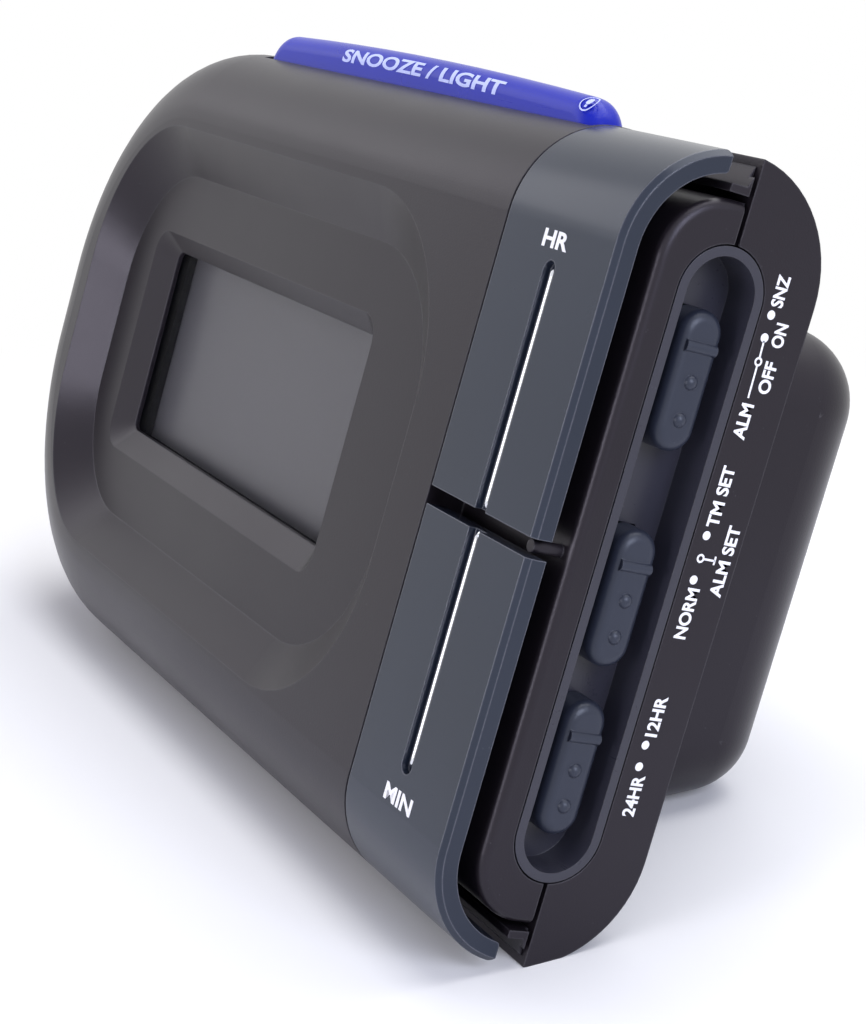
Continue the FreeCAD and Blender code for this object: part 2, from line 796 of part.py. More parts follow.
def make_rear_case():
    shell_front = f"({rear_centre} - 0.05)"
    slab = make_slab("rear_slab", "0", shell_front, side, "rear_round")
    bulge = make_bulge("rear_bulge", "0", f"({rear_centre} + rear_round * sin(lean_angle))")
    outside = fuse("rear_outside", [slab, bulge])
    below = new_body("below_rest")
    sketch = sketch_on(below, "YZ", "0")
    near, far, deep = "0", "(overall_depth + 2 * wall)", "(-overall_depth)"
    outline(sketch, [(near, deep), (far, deep), (far, rest_line(far)), (near, rest_line(near))])
    extrude(below, "Pad", sketch, "case_width + 2 * wall").SideType = "Symmetric"
    standing = cut("rear_standing", outside, below)
    # Hollow of the case, of the column behind the keys, and of the rear body
    hollow = make_slab("rear_hollow", "wall", "(parting_depth - wall)", f"({side} - wall)", "(rear_round - wall)")
    hollow_back = make_bulge("bulge_hollow", "wall", "(body_depth - 2.5 * wall)")
    before = [f"-{side} - wall", "-wall", "-wall"], [f"{side} + wall", "parting_depth", "case_height + wall"]
    inside = fuse("rear_inside", [hollow, hollow_back, block("before_parting", *before)])
    shell = cut("rear_shell", standing, inside)
    # Walls that close the case above and below the stepped wall
    closing = []
    top_low = f"case_height - {step_depth} - wall"
    for low, high in (("wall / 2", f"{step_depth} + wall"), (top_low, "case_height - wall / 2")):
        low_corner = (f"{seam} - wall", "parting_depth", low)
        closing.append(block("closing_wall", low_corner, (f"{side} - wall / 2", "parting_depth + wall", high)))
    # Screw tubes
    tube_radius = "boss_bore + boss_wall"
    tubes = [
        rod("screw_tube", "y", place, tube_radius, "parting_depth", "body_depth - wall / 2") for place in screw_places
    ]
    bay_low_corner = (f"-{door_half} - bay_wall", f"{bay_front} - bay_wall", f"{door_low} - bay_wall")
    bay_high_corner = (f"{door_half} + bay_wall", f"{rear_inner} + wall / 2", f"{door_high} + bay_wall")
    bay = block("bay_block", bay_low_corner, bay_high_corner)
    ring_low = f"{bulge_inner_top} - buzzer_ring_height"
    ring = rod(
        "buzzer_ring",
        "z",
        ("buzzer_x", "buzzer_depth"),
        "buzzer_radius + seat_gap + buzzer_ring_wall",
        ring_low,
        "bulge_top - wall / 2",
    )
    solid = fuse("rear_solid", [shell, bay, ring] + closing + tubes)
    # Everything that is cut through it
    holes = []
    for place in screw_places:
        head_seat = "body_depth - screw_head_depth"
        holes.append(rod("screw_hole", "y", place, "case_screw_radius + 3 * screw_play", "0", "body_depth"))
        holes.append(rod("screw_well", "y", place, "boss_bore", head_seat, "body_depth + wall"))
    room_low, room_high = (f"-{bay_half}", bay_front, bay_low), (bay_half, f"{rear_inner} + wall", bay_high)
    holes.append(block("bay_room", room_low, room_high))
    door_edge = f"({door_half} + door_play)"
    holes.append(
        block(
            "door_room",
            (f"-{door_edge}", rear_inner, f"{door_low} - door_play"),
            (door_edge, "overall_depth + wall", f"{door_high} + door_play"),
        )
    )
    finger = ("0", f"{door_high}")
    notch_start = f"{rear_inner} + wall / 2"
    holes.append(rod("finger_notch", "y", finger, "4 * wall", notch_start, "overall_depth + wall"))
    hinge = (f"{rear_inner} + door_thickness / 2 + seat_gap", f"{door_low} + door_thickness / 2")
    pin_end = f"({door_half} + hinge_pin_length + 2 * door_play)"
    holes.append(rod("hinge_bore", "x", hinge, "hinge_pin_radius + hinge_play", f"-{pin_end}", pin_end))
    tail_half = "(tail_width / 2 + door_play)"
    for start, end in (
        (f"-{bay_half}", f"-{bay_half} + 3 * contact_thickness"),
        (f"{bay_half} - 3 * contact_thickness", bay_half),
    ):
        tail_low = (start, f"{bay_front} - 2 * bay_wall", f"cell_height - {tail_half}")
        tail_high = (end, f"{bay_front} + bay_wall", f"cell_height + {tail_half}")
        holes.append(block("tail_slot", tail_low, tail_high))
    buzzer = ("buzzer_x", "buzzer_depth")
    step_z = f"{bulge_inner_top} - buzzer_step"
    holes.append(rod("buzzer_room", "z", buzzer, "buzzer_radius + seat_gap", f"{ring_low} - wall", step_z))
    holes.append(rod("buzzer_air", "z", buzzer, "buzzer_radius - seat_gap * 20", step_z, bulge_inner_top))
    for turn in range(7):
        angle = 60 * turn
        reach = "sound_ring_radius" if turn else "0"
        place = (f"buzzer_x + {reach} * cos({angle})", f"buzzer_depth + {reach} * sin({angle})")
        holes.append(rod("sound_hole", "z", place, "sound_hole_radius", step_z, "bulge_top + wall"))
    bar_half = "(bar_width / 2 + slot_play)"
    bar_low = (f"bar_centre - {bar_half}", "0", "case_height - 2.5 * wall")
    bar_high = (f"bar_centre + {bar_half}", "bar_back + slot_play", "case_height + wall")
    holes.append(block("bar_slot", bar_low, bar_high))
    tray_hole = new_body("tray_hole")
    sketch = sketch_on(tray_hole, "YZ", f"{side} - 1.5 * wall")
    low, high = "tray_low - tray_play", "tray_high + tray_play"
    racetrack(sketch, "tray_centre", low, high, "(tray_width / 2 + tray_play)")
    extrude(tray_hole, "Pad", sketch, "2.5 * wall")
    holes.append(tray_hole)
    return keep(cut("rear_case", solid, fuse("rear_holes", holes)))


# Window, display and board
def plate(name, left, low, right, high, radius, front, thickness):
    """An upright plate with rounded corners, at a depth."""
    body = new_body(name)
    sketch = sketch_on(body, "XZ", front)
    rounded(sketch, left, low, right, high, radius)
    extrude(body, "Pad", sketch, thickness, away=True)
    return body


def make_display():
    pane = plate(
        "display_window",
        "(window_left - pane_lap)",
        "(window_low - pane_lap)",
        "(window_right + pane_lap)",
        "(window_high + pane_lap)",
        "window_corner",
        pane_front,
        "pane_thickness",
    )
    keep(pane)
    frame = plate(
        "lcd_frame",
        frame_left,
        frame_low,
        frame_right,
        frame_high,
        "window_corner",
        frame_face,
        f"board_front - seat_gap - {frame_face}",
    )
    sketch = sketch_on(frame, "XZ", frame_face)
    view = "frame_view_gap"
    rectangle(
        sketch, f"window_left - {view}", f"window_low - {view}", f"window_right + {view}", f"window_high + {view}"
    )
    extrude(frame, "Pocket", sketch, "2 * frame_front")
    sketch = sketch_on(frame, "XZ", f"{frame_face} + frame_front")
    play = "2 * seat_gap"
    rectangle(
        sketch,
        f"{glass_left} - {play}",
        f"{glass_low} - {play}",
        f"{glass_right} + {play}",
        f"{glass_high} + {play}",
    )
    extrude(frame, "Pocket", sketch, "board_front")
    keep(frame)
    keep(plate("lcd_panel", glass_left, glass_low, glass_right, glass_high, "0.4", glass_front, "glass_thickness"))
    guide_low, guide_high = f"({glass_low} + strip_thickness + 1)", f"({glass_high} - strip_thickness - 1)"
    keep(
        plate(
            "light_guide",
            f"({glass_left} + guide_side)",
            guide_low,
            f"({glass_right} - guide_side)",
            guide_high,
            "0.4",
            guide_front,
            "guide_thickness",
        )
    )
    back = "board_front - seat_gap"
    for name, low, high in (
        ("lower_contact_strip", f"{glass_low} + 0.4", f"{glass_low} + 0.4 + strip_thickness"),
        ("upper_contact_strip", f"{glass_high} - 0.4 - strip_thickness", f"{glass_high} - 0.4"),
    ):
        strip_low = (f"{glass_left} + guide_side", guide_front, low)
        keep(group(name, [block(name + "_bar", strip_low, (f"{glass_right} - guide_side", back, high))]))
    middle = "((window_low + window_high) / 2)"
    lamp_left, lamp_right = f"{glass_right} - guide_side + 2 * seat_gap", f"{glass_right} - 4 * seat_gap"
    lamp = block("lamp_body", (lamp_left, guide_front, f"{middle} - 1.5"), (lamp_right, back, f"{middle} + 1.5"))
    keep(group("backlight_led", [lamp]))


def make_main_board():
    board = plate(
        "main_board", "board_left", "board_low", "board_right", "board_high", "0.8", "board_front", "board_thickness"
    )
    sketch = sketch_on(board, "XZ", "board_front")
    for across, up in post_places:
        circle(sketch, across, up, "board_screw_radius + 2 * screw_play")
    extrude(board, "Pocket", sketch, "board_thickness")
    notch = "(boss_bore + boss_wall + 2 * guide_play)"
    sketch = sketch_on(board, "XZ", "board_front")
    for up in ("screw_right_low", "screw_right_high"):
        rectangle(sketch, f"screw_right - {notch}", f"{up} - {notch}", "board_right + wall", f"{up} + {notch}")
    extrude(board, "Pocket", sketch, "board_thickness")
    keep(board)
    back = f"({board_back} + seat_gap)"
    # Chip under its drop of resin
    chip = doc.addObject("Part::Ellipsoid", "chip_drop")
    bind(chip, "Radius1", "chip_dome")
    bind(chip, "Radius2", "chip_half_width")
    bind(chip, "Radius3", "chip_half_height")
    chip.Placement = Placement(Vector(), Rotation(Vector(1, 0, 0), -90))
    bind(chip, "Placement.Base.x", "chip_across")
    bind(chip, "Placement.Base.y", back)
    bind(chip, "Placement.Base.z", "chip_up")
    width, height = "2 * chip_half_width", "2 * chip_half_height"
    trim_low = (f"chip_across - {width}", f"{back} - 2 * chip_dome", f"chip_up - {height}")
    trim_high = (f"chip_across + {width}", back, f"chip_up + {height}")
    keep(cut("clock_chip", chip, block("chip_trim", trim_low, trim_high)))
    can_place = ("crystal_across", f"{back} + crystal_radius")
    can_top = "crystal_low + crystal_length"
    keep(group("crystal", [rod("crystal_can", "z", can_place, "crystal_radius", "crystal_low", can_top)]))
    place = ("capacitor_across", "capacitor_up")
    can_end = f"{back} + capacitor_length"
    keep(group("capacitor", [rod("capacitor_can", "y", place, "capacitor_radius", back, can_end)]))
    chips = []
    for column in range(3):
        for row in range(2):
            across = f"(resistor_across + {column} * resistor_pitch_x)"
            up = f"(resistor_low + {row} * resistor_pitch_z)"
            high = (f"{across} + resistor_width", f"{back} + resistor_thickness", f"{up} + resistor_length")
            chips.append(block("resistor", (across, back, up), high))
    keep(group("chip_resistors", chips))
    # Push switch under the snooze bar, at the top edge of the board
    board_face = "(board_front - seat_gap)"
    base_low = ("bar_centre - tact_half_width", f"{board_face} - tact_depth", "board_high - tact_lap")
    base_high = ("bar_centre + tact_half_width", board_face, "board_high + tact_rise")
    button_top = "(bar_base - bar_travel - seat_gap)"
    place = ("bar_centre", f"{board_face} - tact_depth + tact_button_inset")
    low = "board_high + tact_rise - 2 * seat_gap"
    button = rod("switch_button", "z", place, "tact_button_radius", low, button_top)
    keep(fuse("snooze_switch", [block("switch_base", base_low, base_high), button]))
    # Screws of the board
    screws = []
    for place in post_places:
        head_end = f"({board_back} + board_head_height)"
        head = rod("board_head", "y", place, "board_head_radius", f"{board_back} + seat_gap / 5", head_end)
        reach = f"({board_back} - 3.5 * board_thickness)"
        shank_end = f"{board_back} + board_head_height / 2"
        shank = rod("board_shank", "y", place, "board_screw_radius", reach, shank_end)
        half, narrow = "0.72 * board_head_radius", "0.14 * board_head_radius"
        slot_low = (f"{place[0]} - {half}", f"{head_end} - board_head_height / 2", f"{place[1]} - {narrow}")
        slot_high = (f"{place[0]} + {half}", f"{head_end} + board_head_height", f"{place[1]} + {narrow}")
        drive = block("drive", slot_low, slot_high)
        screws.append(cut("board_screw", fuse("board_screw_solid", [head, shank]), drive))
    keep(group("board_screws", screws))


def make_case_screws():
    screws = []
    for place in screw_places:
        seat = "(body_depth - screw_head_depth + seat_gap / 5)"
        head_end = f"{seat} + screw_head_height"
        head = rod("case_head", "y", place, "screw_head_radius", seat, head_end)
        shank_end = f"{seat} + screw_head_height / 2"
        shank = rod("case_shank", "y", place, "case_screw_radius", "screw_reach + 1", shank_end)
        solid = fuse("case_screw_solid", [head, shank])
        arms = []
        for half_x, half_z in ((1.6, 0.35), (0.35, 1.6)):
            low = (f"{place[0]} - {half_x}", f"{head_end} - 1", f"{place[1]} - {half_z}")
            high = (f"{place[0]} + {half_x}", f"{head_end} + 1", f"{place[1]} + {half_z}")
            arms.append(block("cross_arm", low, high))
        screws.append(cut("case_screw", solid, fuse("cross", arms)))
    keep(group("case_screws", screws))


# Keys
def make_key(name, outer, sign):
    """A key that wraps round a front corner; outer is the case edge it meets, sign leads away from that edge."""
    body = new_body(name)
    sketch = sketch_on(body, "YZ", f"{seam} + seam_gap")
    inner_end = f"(key_split - ({sign}) * key_gap / 2)"
    bend = f"({outer} + ({sign}) * front_round)"
    inner_radius = "(front_round - key_thickness)"
    rise = "sqrt({0} * {0} - (front_round - key_reach) * (front_round - key_reach))"
    tip = f"({bend} - ({sign}) * {rise.format('front_round')})"
    tip_inside = f"({bend} - ({sign}) * {rise.format(inner_radius)})"
    turn = 1 if sign == "1" else -1
    corners = [("0", inner_end), ("0", bend), ("key_reach", tip), ("key_reach", tip_inside)]
    corners += [("key_thickness", bend), ("key_thickness", inner_end)]
    middle = ("front_round", bend)
    outline(sketch, corners, {1: (middle, "front_round", turn), 3: (middle, inner_radius, -turn)})
    extrude(body, "Pad", sketch, "key_width - 2 * seam_gap")
    right, tip_depth, round_radius = value(f"{side} - seam_gap"), value("key_reach"), value("front_round")

    def outer_arc(edge):
        return hasattr(edge.Curve, "Radius") and abs(edge.Curve.Radius - round_radius) < 0.01


    def end_edge(edge):
        return at(edge, "x", right) and (at(edge, "y", 0) or outer_arc(edge))

    round_edges(body, "key_bevel", end_edge, "Chamfer")
    round_edges(body, "key_tip_round", lambda edge: at(edge, "y", tip_depth) and edge.Length > 5)
    plunger, outer_peg, inner_peg = key_places(outer, sign)
    plunger_tip = "(board_front - pad_height - 2 * seat_gap)"
    for height, radius, end in (
        (plunger, "plunger_radius", plunger_tip),
        (outer_peg, "peg_radius", f"({step_depth} + wall + key_travel + 0.5)"),
        (inner_peg, "peg_radius", f"({step_depth} + wall + key_travel + 0.5)"),
    ):
        sketch = sketch_on(body, "XZ", "key_thickness / 2")
        circle(sketch, plunger_x, height, radius)
        extrude(body, "Pad", sketch, f"{end} - key_thickness / 2", away=True)
    sketch = sketch_on(body, "XZ", f"{step_depth} + wall + seat_gap * 3")
    for height in (outer_peg, inner_peg):
        circle(sketch, plunger_x, height, "peg_radius + guide_play + peg_hook")
    extrude(body, "Pad", sketch, "key_travel / 2", away=True)
    # Shallow groove down the key
    sketch = sketch_on(body, "XZ", "0")
    half = "(groove_width / 2)"
    groove_x = f"({side} - groove_inset)"
    left, right_edge = f"({groove_x} - {half})", f"({groove_x} + {half})"
    end = "groove_low" if sign == "1" else "groove_high"
    end_centre = f"({end} + ({sign}) * {half})"
    beyond = f"({inner_end} + ({sign}) * wall)"
    corners = [(left, beyond), (left, end_centre), (right_edge, end_centre), (right_edge, beyond)]
    outline(sketch, corners, {1: ((groove_x, end_centre), half, 1 if sign == "1" else -1)})
    extrude(body, "Pocket", sketch, "groove_depth")
    return keep(body)


def make_pad(name, height):
    """A rubber contact dome on the board, under a key."""
    place = (plunger_x, height)
    back = "(board_front - seat_gap)"
    base = rod("pad_base", "y", place, "pad_base_radius", f"{back} - 0.8", back)
    low, high = f"{back} - pad_height + seat_gap", f"{back} - 0.8"
    dome = cone("pad_dome", "y", place, "pad_top_radius", "pad_base_radius - 0.6", low, high)
    keep(fuse(name, [base, dome]))


# Snooze bar
def make_snooze_bar():
    body = new_body("snooze_bar")
    # Crowned top between two end arcs that run into it smoothly
    sketch = sketch_on(body, "XZ", "bar_front")
    inside = "(bar_crown_radius - bar_end_round)"
    stretch = f"(bar_crown_radius / {inside})"
    corners, arcs = [("bar_left", "bar_base"), ("bar_right", "bar_base")], {}
    for index, edge, end in ((2, "bar_right", "bar_end_right"), (4, "bar_left", "bar_end_left")):
        rise = f"sqrt({inside} ^ 2 - {end} ^ 2)"
        centre = (end, f"(bar_crown_height + {rise})")
        meeting = (f"{end} * {stretch}", f"(bar_crown_height + {rise} * {stretch})")
        corners += [(edge, centre[1]), meeting] if index == 2 else [meeting, (edge, centre[1])]
        arcs[index] = (centre, "bar_end_round", 1)
    arcs[3] = (("0", "bar_crown_height"), "bar_crown_radius", 1)
    outline(sketch, corners, arcs)
    extrude(body, "Pad", sketch, "bar_back - bar_front", away=True)
    front, back, base = value("bar_front"), value("bar_back"), value("bar_base")

    def face_edge(edge):
        return (at(edge, "y", front) or at(edge, "y", back)) and not at(edge, "z", base)

    round_edges(body, "bar_round", face_edge)
    # Hollow below, with a middle rib that presses the switch and the seats of the two springs
    sketch = sketch_on(body, "XY", "bar_base")
    low, high = "bar_front + bar_wall", "bar_back - bar_wall"
    rectangle(sketch, "bar_left + 2 * wall", low, "bar_right - 2 * wall", high)
    extrude(body, "Pocket", sketch, "bar_rise + 0.5 * wall", away=True)
    low, high = "bar_front + bar_wall / 2", "bar_back - bar_wall / 2"
    seats = [("bar_centre", "wall")] + [(across, "1.5 * wall") for across in shelf_places]
    for across, half in seats:
        sketch = sketch_on(body, "XY", "bar_base")
        rectangle(sketch, f"{across} - {half}", low, f"{across} + {half}", high)
        extrude(body, "Pad", sketch, "bar_rise + 0.6 * wall")
    # Tabs that hold the bar under the rear case
    sketch = sketch_on(body, "XY", "bar_base")
    low, high = "bar_back - bar_wall / 2", "bar_back + bar_tab"
    for across in shelf_places:
        rectangle(sketch, f"{across} - wall", low, f"{across} + wall", high)
    extrude(body, "Pad", sketch, "bar_tab_height")
    keep(body)


def coil(centre, axis, reach, radius, end_radius, wire, turns):
    """A wound wire on half-turn arcs, widening or narrowing along its length."""
    side_a = Vector(0, 1, 0) if abs(axis.x) > 0.5 else Vector(1, 0, 0)
    side_b = axis.cross(side_a)

    def point(turn):
        share = turn / turns
        spread = radius + (end_radius - radius) * share
        angle = 2 * math.pi * turn
        around = side_a * (spread * math.cos(angle)) + side_b * (spread * math.sin(angle))
        return centre + axis * (reach * share) + around

    step = 0.25
    edges = []
    for number in range(int(turns / step)):
        start = number * step
        arc = Part.Arc(point(start), point(start + step / 2), point(start + step))
        edges.append(arc.toShape())
    path = Part.Wire(edges)
    first = edges[0]
    heading = first.tangentAt(first.FirstParameter)
    ring = Part.Wire([Part.makeCircle(wire, point(0), heading)])
    pitch = reach / turns
    print("coil gap between turns", round(pitch - 2 * wire, 2))
    return Part.Solid(path.makePipeShell([ring], True, False))


def make_snooze_springs():
    feature = doc.addObject("Part::Feature", "snooze_springs")
    feature.Label = "snooze_springs"
    depth = value("(bar_front + shelf_back) / 2")
    wire = value("spring_wire / 2")
    low = value("spring_shelf_height + seat_gap") + wire
    reach = value("bar_base - seat_gap") - wire - low
    solids = []
    for across in shelf_places:
        centre = Vector(value(across), depth, low)
        radius = value("spring_radius") - wire
        solids.append(coil(centre, Vector(0, 0, 1), reach, radius, radius, wire, 5))
    feature.Shape = Part.makeCompound(solids)
    keep(feature)


# Switch tray, knobs and switch board
knobs = [
    ("alarm_knob", "alarm_wiper", "alarm_height", "0", "2 * switch_pitch"),
    ("mode_knob", "mode_wiper", "mode_height", "0", "2 * switch_pitch"),
    ("hour_format_knob", "hour_format_wiper", "hour_height", "switch_pitch", "0"),
]


def make_switch_tray():
    body = new_body("switch_tray")
    sketch = sketch_on(body, "YZ", tray_back)
    racetrack(sketch, "tray_centre", "tray_low", "tray_high", "(tray_width / 2)")
    extrude(body, "Pad", sketch, "tray_depth + tray_floor")
    sketch = sketch_on(body, "YZ", f"{side} - wall - seat_gap")
    racetrack(
        sketch,
        "tray_centre",
        "tray_low - tray_flange",
        "tray_high + tray_flange",
        "(tray_width / 2 + tray_flange)",
    )
    extrude(body, "Pad", sketch, "tray_flange_thickness", away=True)
    sketch = sketch_on(body, "YZ", side)
    inner = ("tray_low + tray_wall", "tray_high - tray_wall", "(tray_width / 2 - tray_wall)")
    racetrack(sketch, "tray_centre", *inner)
    extrude(body, "Pocket", sketch, "tray_depth")
    sketch = sketch_on(body, "YZ", side)
    half_width, half_length = "(stem_width / 2 + guide_play / 2)", "(stem_length / 2 + guide_play / 2)"
    for knob, wiper, height, down, up in knobs:
        rectangle(
            sketch,
            f"tray_centre - {half_width}",
            f"{height} - {down} - {half_length}",
            f"tray_centre + {half_width}",
            f"{height} + {up} + {half_length}",
        )
    extrude(body, "Pocket", sketch, "tray_depth + tray_floor + wall")
    sketch = sketch_on(body, "YZ", f"{switch_face} + seat_gap")
    for up in ("switch_post_low", "switch_post_high"):
        circle(sketch, "tray_centre", up, "switch_post_radius")
    extrude(body, "Pad", sketch, "switch_board_gap")
    keep(body)


def make_knob(name, wiper, height):
    body = new_body(name)
    floor_x = f"({side} - tray_depth + knob_play)"
    top_x = f"({side} - knob_sink)"
    half = "(knob_width / 2)"
    sketch = sketch_on(body, "YZ", floor_x)
    low, high = f"({height} - knob_length / 2)", f"({height} + knob_length / 2)"
    racetrack(sketch, "tray_centre", low, high, half)
    extrude(body, "Pad", sketch, f"{top_x} - {floor_x}")
    top = value(top_x)
    round_edges(body, "knob_round", lambda edge: at(edge, "x", top))
    # Pointer ridge across the knob
    ridge_z = f"({high} - ridge_offset)"
    sketch = sketch_on(body, "XZ", f"tray_centre - {half} + ridge_radius")
    circle(sketch, f"{top_x} - ridge_radius / 3", ridge_z, "ridge_radius")
    extrude(body, "Pad", sketch, "knob_width - 2 * ridge_radius", away=True)
    for number in range(2):
        ball = body.newObject("PartDesign::AdditiveSphere", name + "_bump")
        bind(ball, "Radius", "bump_radius")
        bind(ball, "AttachmentOffset.Base.x", f"{top_x} - bump_radius / 3")
        bind(ball, "AttachmentOffset.Base.y", "tray_centre")
        bind(ball, "AttachmentOffset.Base.z", f"{high} - bump_first - {number} * bump_pitch")
        plane = [item for item in body.Origin.OriginFeatures if item.Role == "XY_Plane"][0]
        ball.AttachmentSupport = [(plane, "")]
        ball.MapMode = "FlatFace"
    # Stem through the floor of the tray
    sketch = sketch_on(body, "YZ", f"{tray_back} - switch_board_gap / 3")
    rectangle(
        sketch,
        "tray_centre - stem_width / 2",
        f"{height} - stem_length / 2",
        "tray_centre + stem_width / 2",
        f"{height} + stem_length / 2",
    )
    extrude(body, "Pad", sketch, "switch_board_gap / 3 + tray_floor + 2 * knob_play")
    keep(body)
    # Sprung contact on the stem's end
    stem_end = f"({tray_back} - switch_board_gap / 3)"
    half = "stem_length / 2"
    strip_low = (f"{stem_end} - seat_gap / 5 - wiper_thickness", "tray_centre - stem_width", f"{height} - {half}")
    strip_high = (f"{stem_end} - seat_gap / 5", "tray_centre + stem_width", f"{height} + {half}")
    strip = block("wiper_strip", strip_low, strip_high)
    feet = []
    for across in (-1, 1):
        place = (f"tray_centre + {across} * stem_width * 0.7", f"{height}")
        foot_start, foot_end = f"{switch_face} + seat_gap / 5", f"{stem_end} - wiper_thickness / 2"
        feet.append(rod("wiper_foot", "x", place, "0.5", foot_start, foot_end))
    keep(fuse(wiper, [strip] + feet))


def make_switch_board():
    board = new_body("switch_board")
    sketch = sketch_on(board, "YZ", switch_face)
    half = "(tray_width / 2 - tray_wall)"
    rectangle(sketch, f"tray_centre - {half}", "tray_low + wall", f"tray_centre + {half}", "tray_high - wall")
    extrude(board, "Pad", sketch, "board_thickness", away=True)
    keep(board)
    # Flat cable from the switch board to the main board
    low, high = "ribbon_low", "(ribbon_low + ribbon_width)"
    depth = f"({board_back} + seat_gap)"
    bend_x = f"({switch_face} - board_thickness - seat_gap)"
    outside = f"{depth} + ribbon_thickness"
    upright_low = (f"{bend_x} - ribbon_thickness", "board_front - board_thickness", low)
    upright = block("ribbon_upright", upright_low, (bend_x, outside, high))
    across = block("ribbon_across", (f"{bend_x} - ribbon_lap", depth, low), (bend_x, outside, high))
    keep(fuse("switch_ribbon", [upright, across]))


# Battery, contacts and door
def make_battery():
    negative = f"(-{bay_half} + bay_spring_room)"
    place = (cell_depth, "cell_height")
    can_end = f"{negative} + cell_length - cell_nub_length"
    can = rod("cell_can", "x", place, "cell_radius", negative, can_end)
    nub = rod("cell_nub", "x", place, "cell_nub_radius", can_end, f"{can_end} + cell_nub_length")
    keep(fuse("battery", [can, nub]))
    # Positive contact: a plate with a raised button and a solder tail
    half = "(contact_size / 2)"
    tail_half = "(tail_width / 2)"
    plate_end = f"({bay_half} - seat_gap)"
    plate_low = (f"{plate_end} - contact_thickness", f"{bay_front} + seat_gap", f"cell_height - {half}")
    plate_high = (plate_end, f"{cell_depth} + {half}", f"cell_height + {half}")
    sheet_part = block("plus_plate", plate_low, plate_high)
    button_start = f"{can_end} + cell_nub_length + seat_gap"
    button = cone("plus_button", "x", place, "2", "3", button_start, f"{plate_end} - 0.1")
    tail_start = f"{bay_front} - bay_wall - tail_reach"
    tail_low = (f"{plate_end} - contact_thickness", tail_start, f"cell_height - {tail_half}")
    tail = block("plus_tail", tail_low, (plate_end, cell_depth, f"cell_height + {tail_half}"))
    keep(fuse("contact_plate", [sheet_part, button, tail]))
    # Negative contact: a plate, its tail and a wound spring
    plate_start = f"(-{bay_half} + seat_gap)"
    plate_low = (plate_start, f"{bay_front} + seat_gap", f"cell_height - {half}")
    plate_high = (f"{plate_start} + contact_thickness", f"{cell_depth} + {half}", f"cell_height + {half}")
    minus = [block("minus_plate", plate_low, plate_high)]
    tail_low = (plate_start, tail_start, f"cell_height - {tail_half}")
    tail_high = (f"{plate_start} + contact_thickness", cell_depth, f"cell_height + {tail_half}")
    minus.append(block("minus_tail", tail_low, tail_high))
    wire = value("coil_wire / 2")
    start_x = value(f"{plate_start} + contact_thickness") + 0.8 * wire
    start = Vector(start_x, value(cell_depth), value("cell_height"))
    reach = value(negative) - value("seat_gap") - wire - start.x
    winding = doc.addObject("Part::Feature", "minus_coil")
    winding.Shape = coil(start, Vector(1, 0, 0), reach, value("contact_size") / 2 - wire, 2.6, wire, 4)
    minus.append(winding)
    keep(fuse("contact_spring", minus))


def make_battery_door():
    body = new_body("battery_door")
    face = f"({rear_inner} + seat_gap)"
    half = "(door_thickness / 2)"
    back = f"({face} + door_thickness)"
    pivot = f"({door_low} + {half})"
    sketch = sketch_on(body, "YZ", "0")
    corners = [(face, pivot), (back, pivot), (back, door_high), (face, door_high)]
    outline(sketch, corners, {0: ((f"{face} + {half}", pivot), half, 1)})
    extrude(body, "Pad", sketch, f"2 * {door_half}").SideType = "Symmetric"
    sketch = sketch_on(body, "YZ", "0")
    circle(sketch, f"{face} + {half}", pivot, "hinge_pin_radius")
    extrude(body, "Pad", sketch, f"2 * ({door_half} + hinge_pin_length)").SideType = "Symmetric"
    keep(body)


def make_buzzer():
    high = f"({bulge_inner_top} - buzzer_step - seat_gap)"
    place = ("buzzer_x", "buzzer_depth")
    disc = rod("buzzer_brass", "z", place, "buzzer_radius", f"{high} - buzzer_thickness", high)
    low, middle = f"{high} - 1.6 * buzzer_thickness", f"{high} - buzzer_thickness / 2"
    crystal = rod(
        "buzzer_ceramic", "z", place, "buzzer_radius * 0.7", low, middle
    )
    keep(fuse("buzzer_disc", [disc, crystal]))


def lead(points):
    """A round insulated wire through points, with an arc at each bend."""
    radius = value("lead_bend")
    wire = value("lead_radius")
    edges = []
    start = points[0]
    for before, corner, after in zip(points, points[1:], points[2:]):
        inward, outward = (before - corner).normalize(), (after - corner).normalize()
        half_turn = (math.pi - inward.getAngle(outward)) / 2
        trim = radius * math.tan(half_turn)
        arc_start, arc_end = corner + inward * trim, corner + outward * trim
        bisector = (inward + outward).normalize()
        centre = corner + bisector * (radius / math.cos(half_turn))
        middle = centre - bisector * radius
        edges.append(Part.LineSegment(start, arc_start).toShape())
        edges.append(Part.Arc(arc_start, middle, arc_end).toShape())
        start = arc_end
    edges.append(Part.LineSegment(start, points[-1]).toShape())
    path = Part.Wire(edges)
    ring = Part.Wire([Part.makeCircle(wire, points[0], points[1] - points[0])])
    solid = Part.Solid(path.makePipeShell([ring], True, False))
    share = solid.Volume / (path.Length * math.pi * wire**2)
    print("lead length", round(path.Length, 1), "volume share", round(share, 3))
    return solid


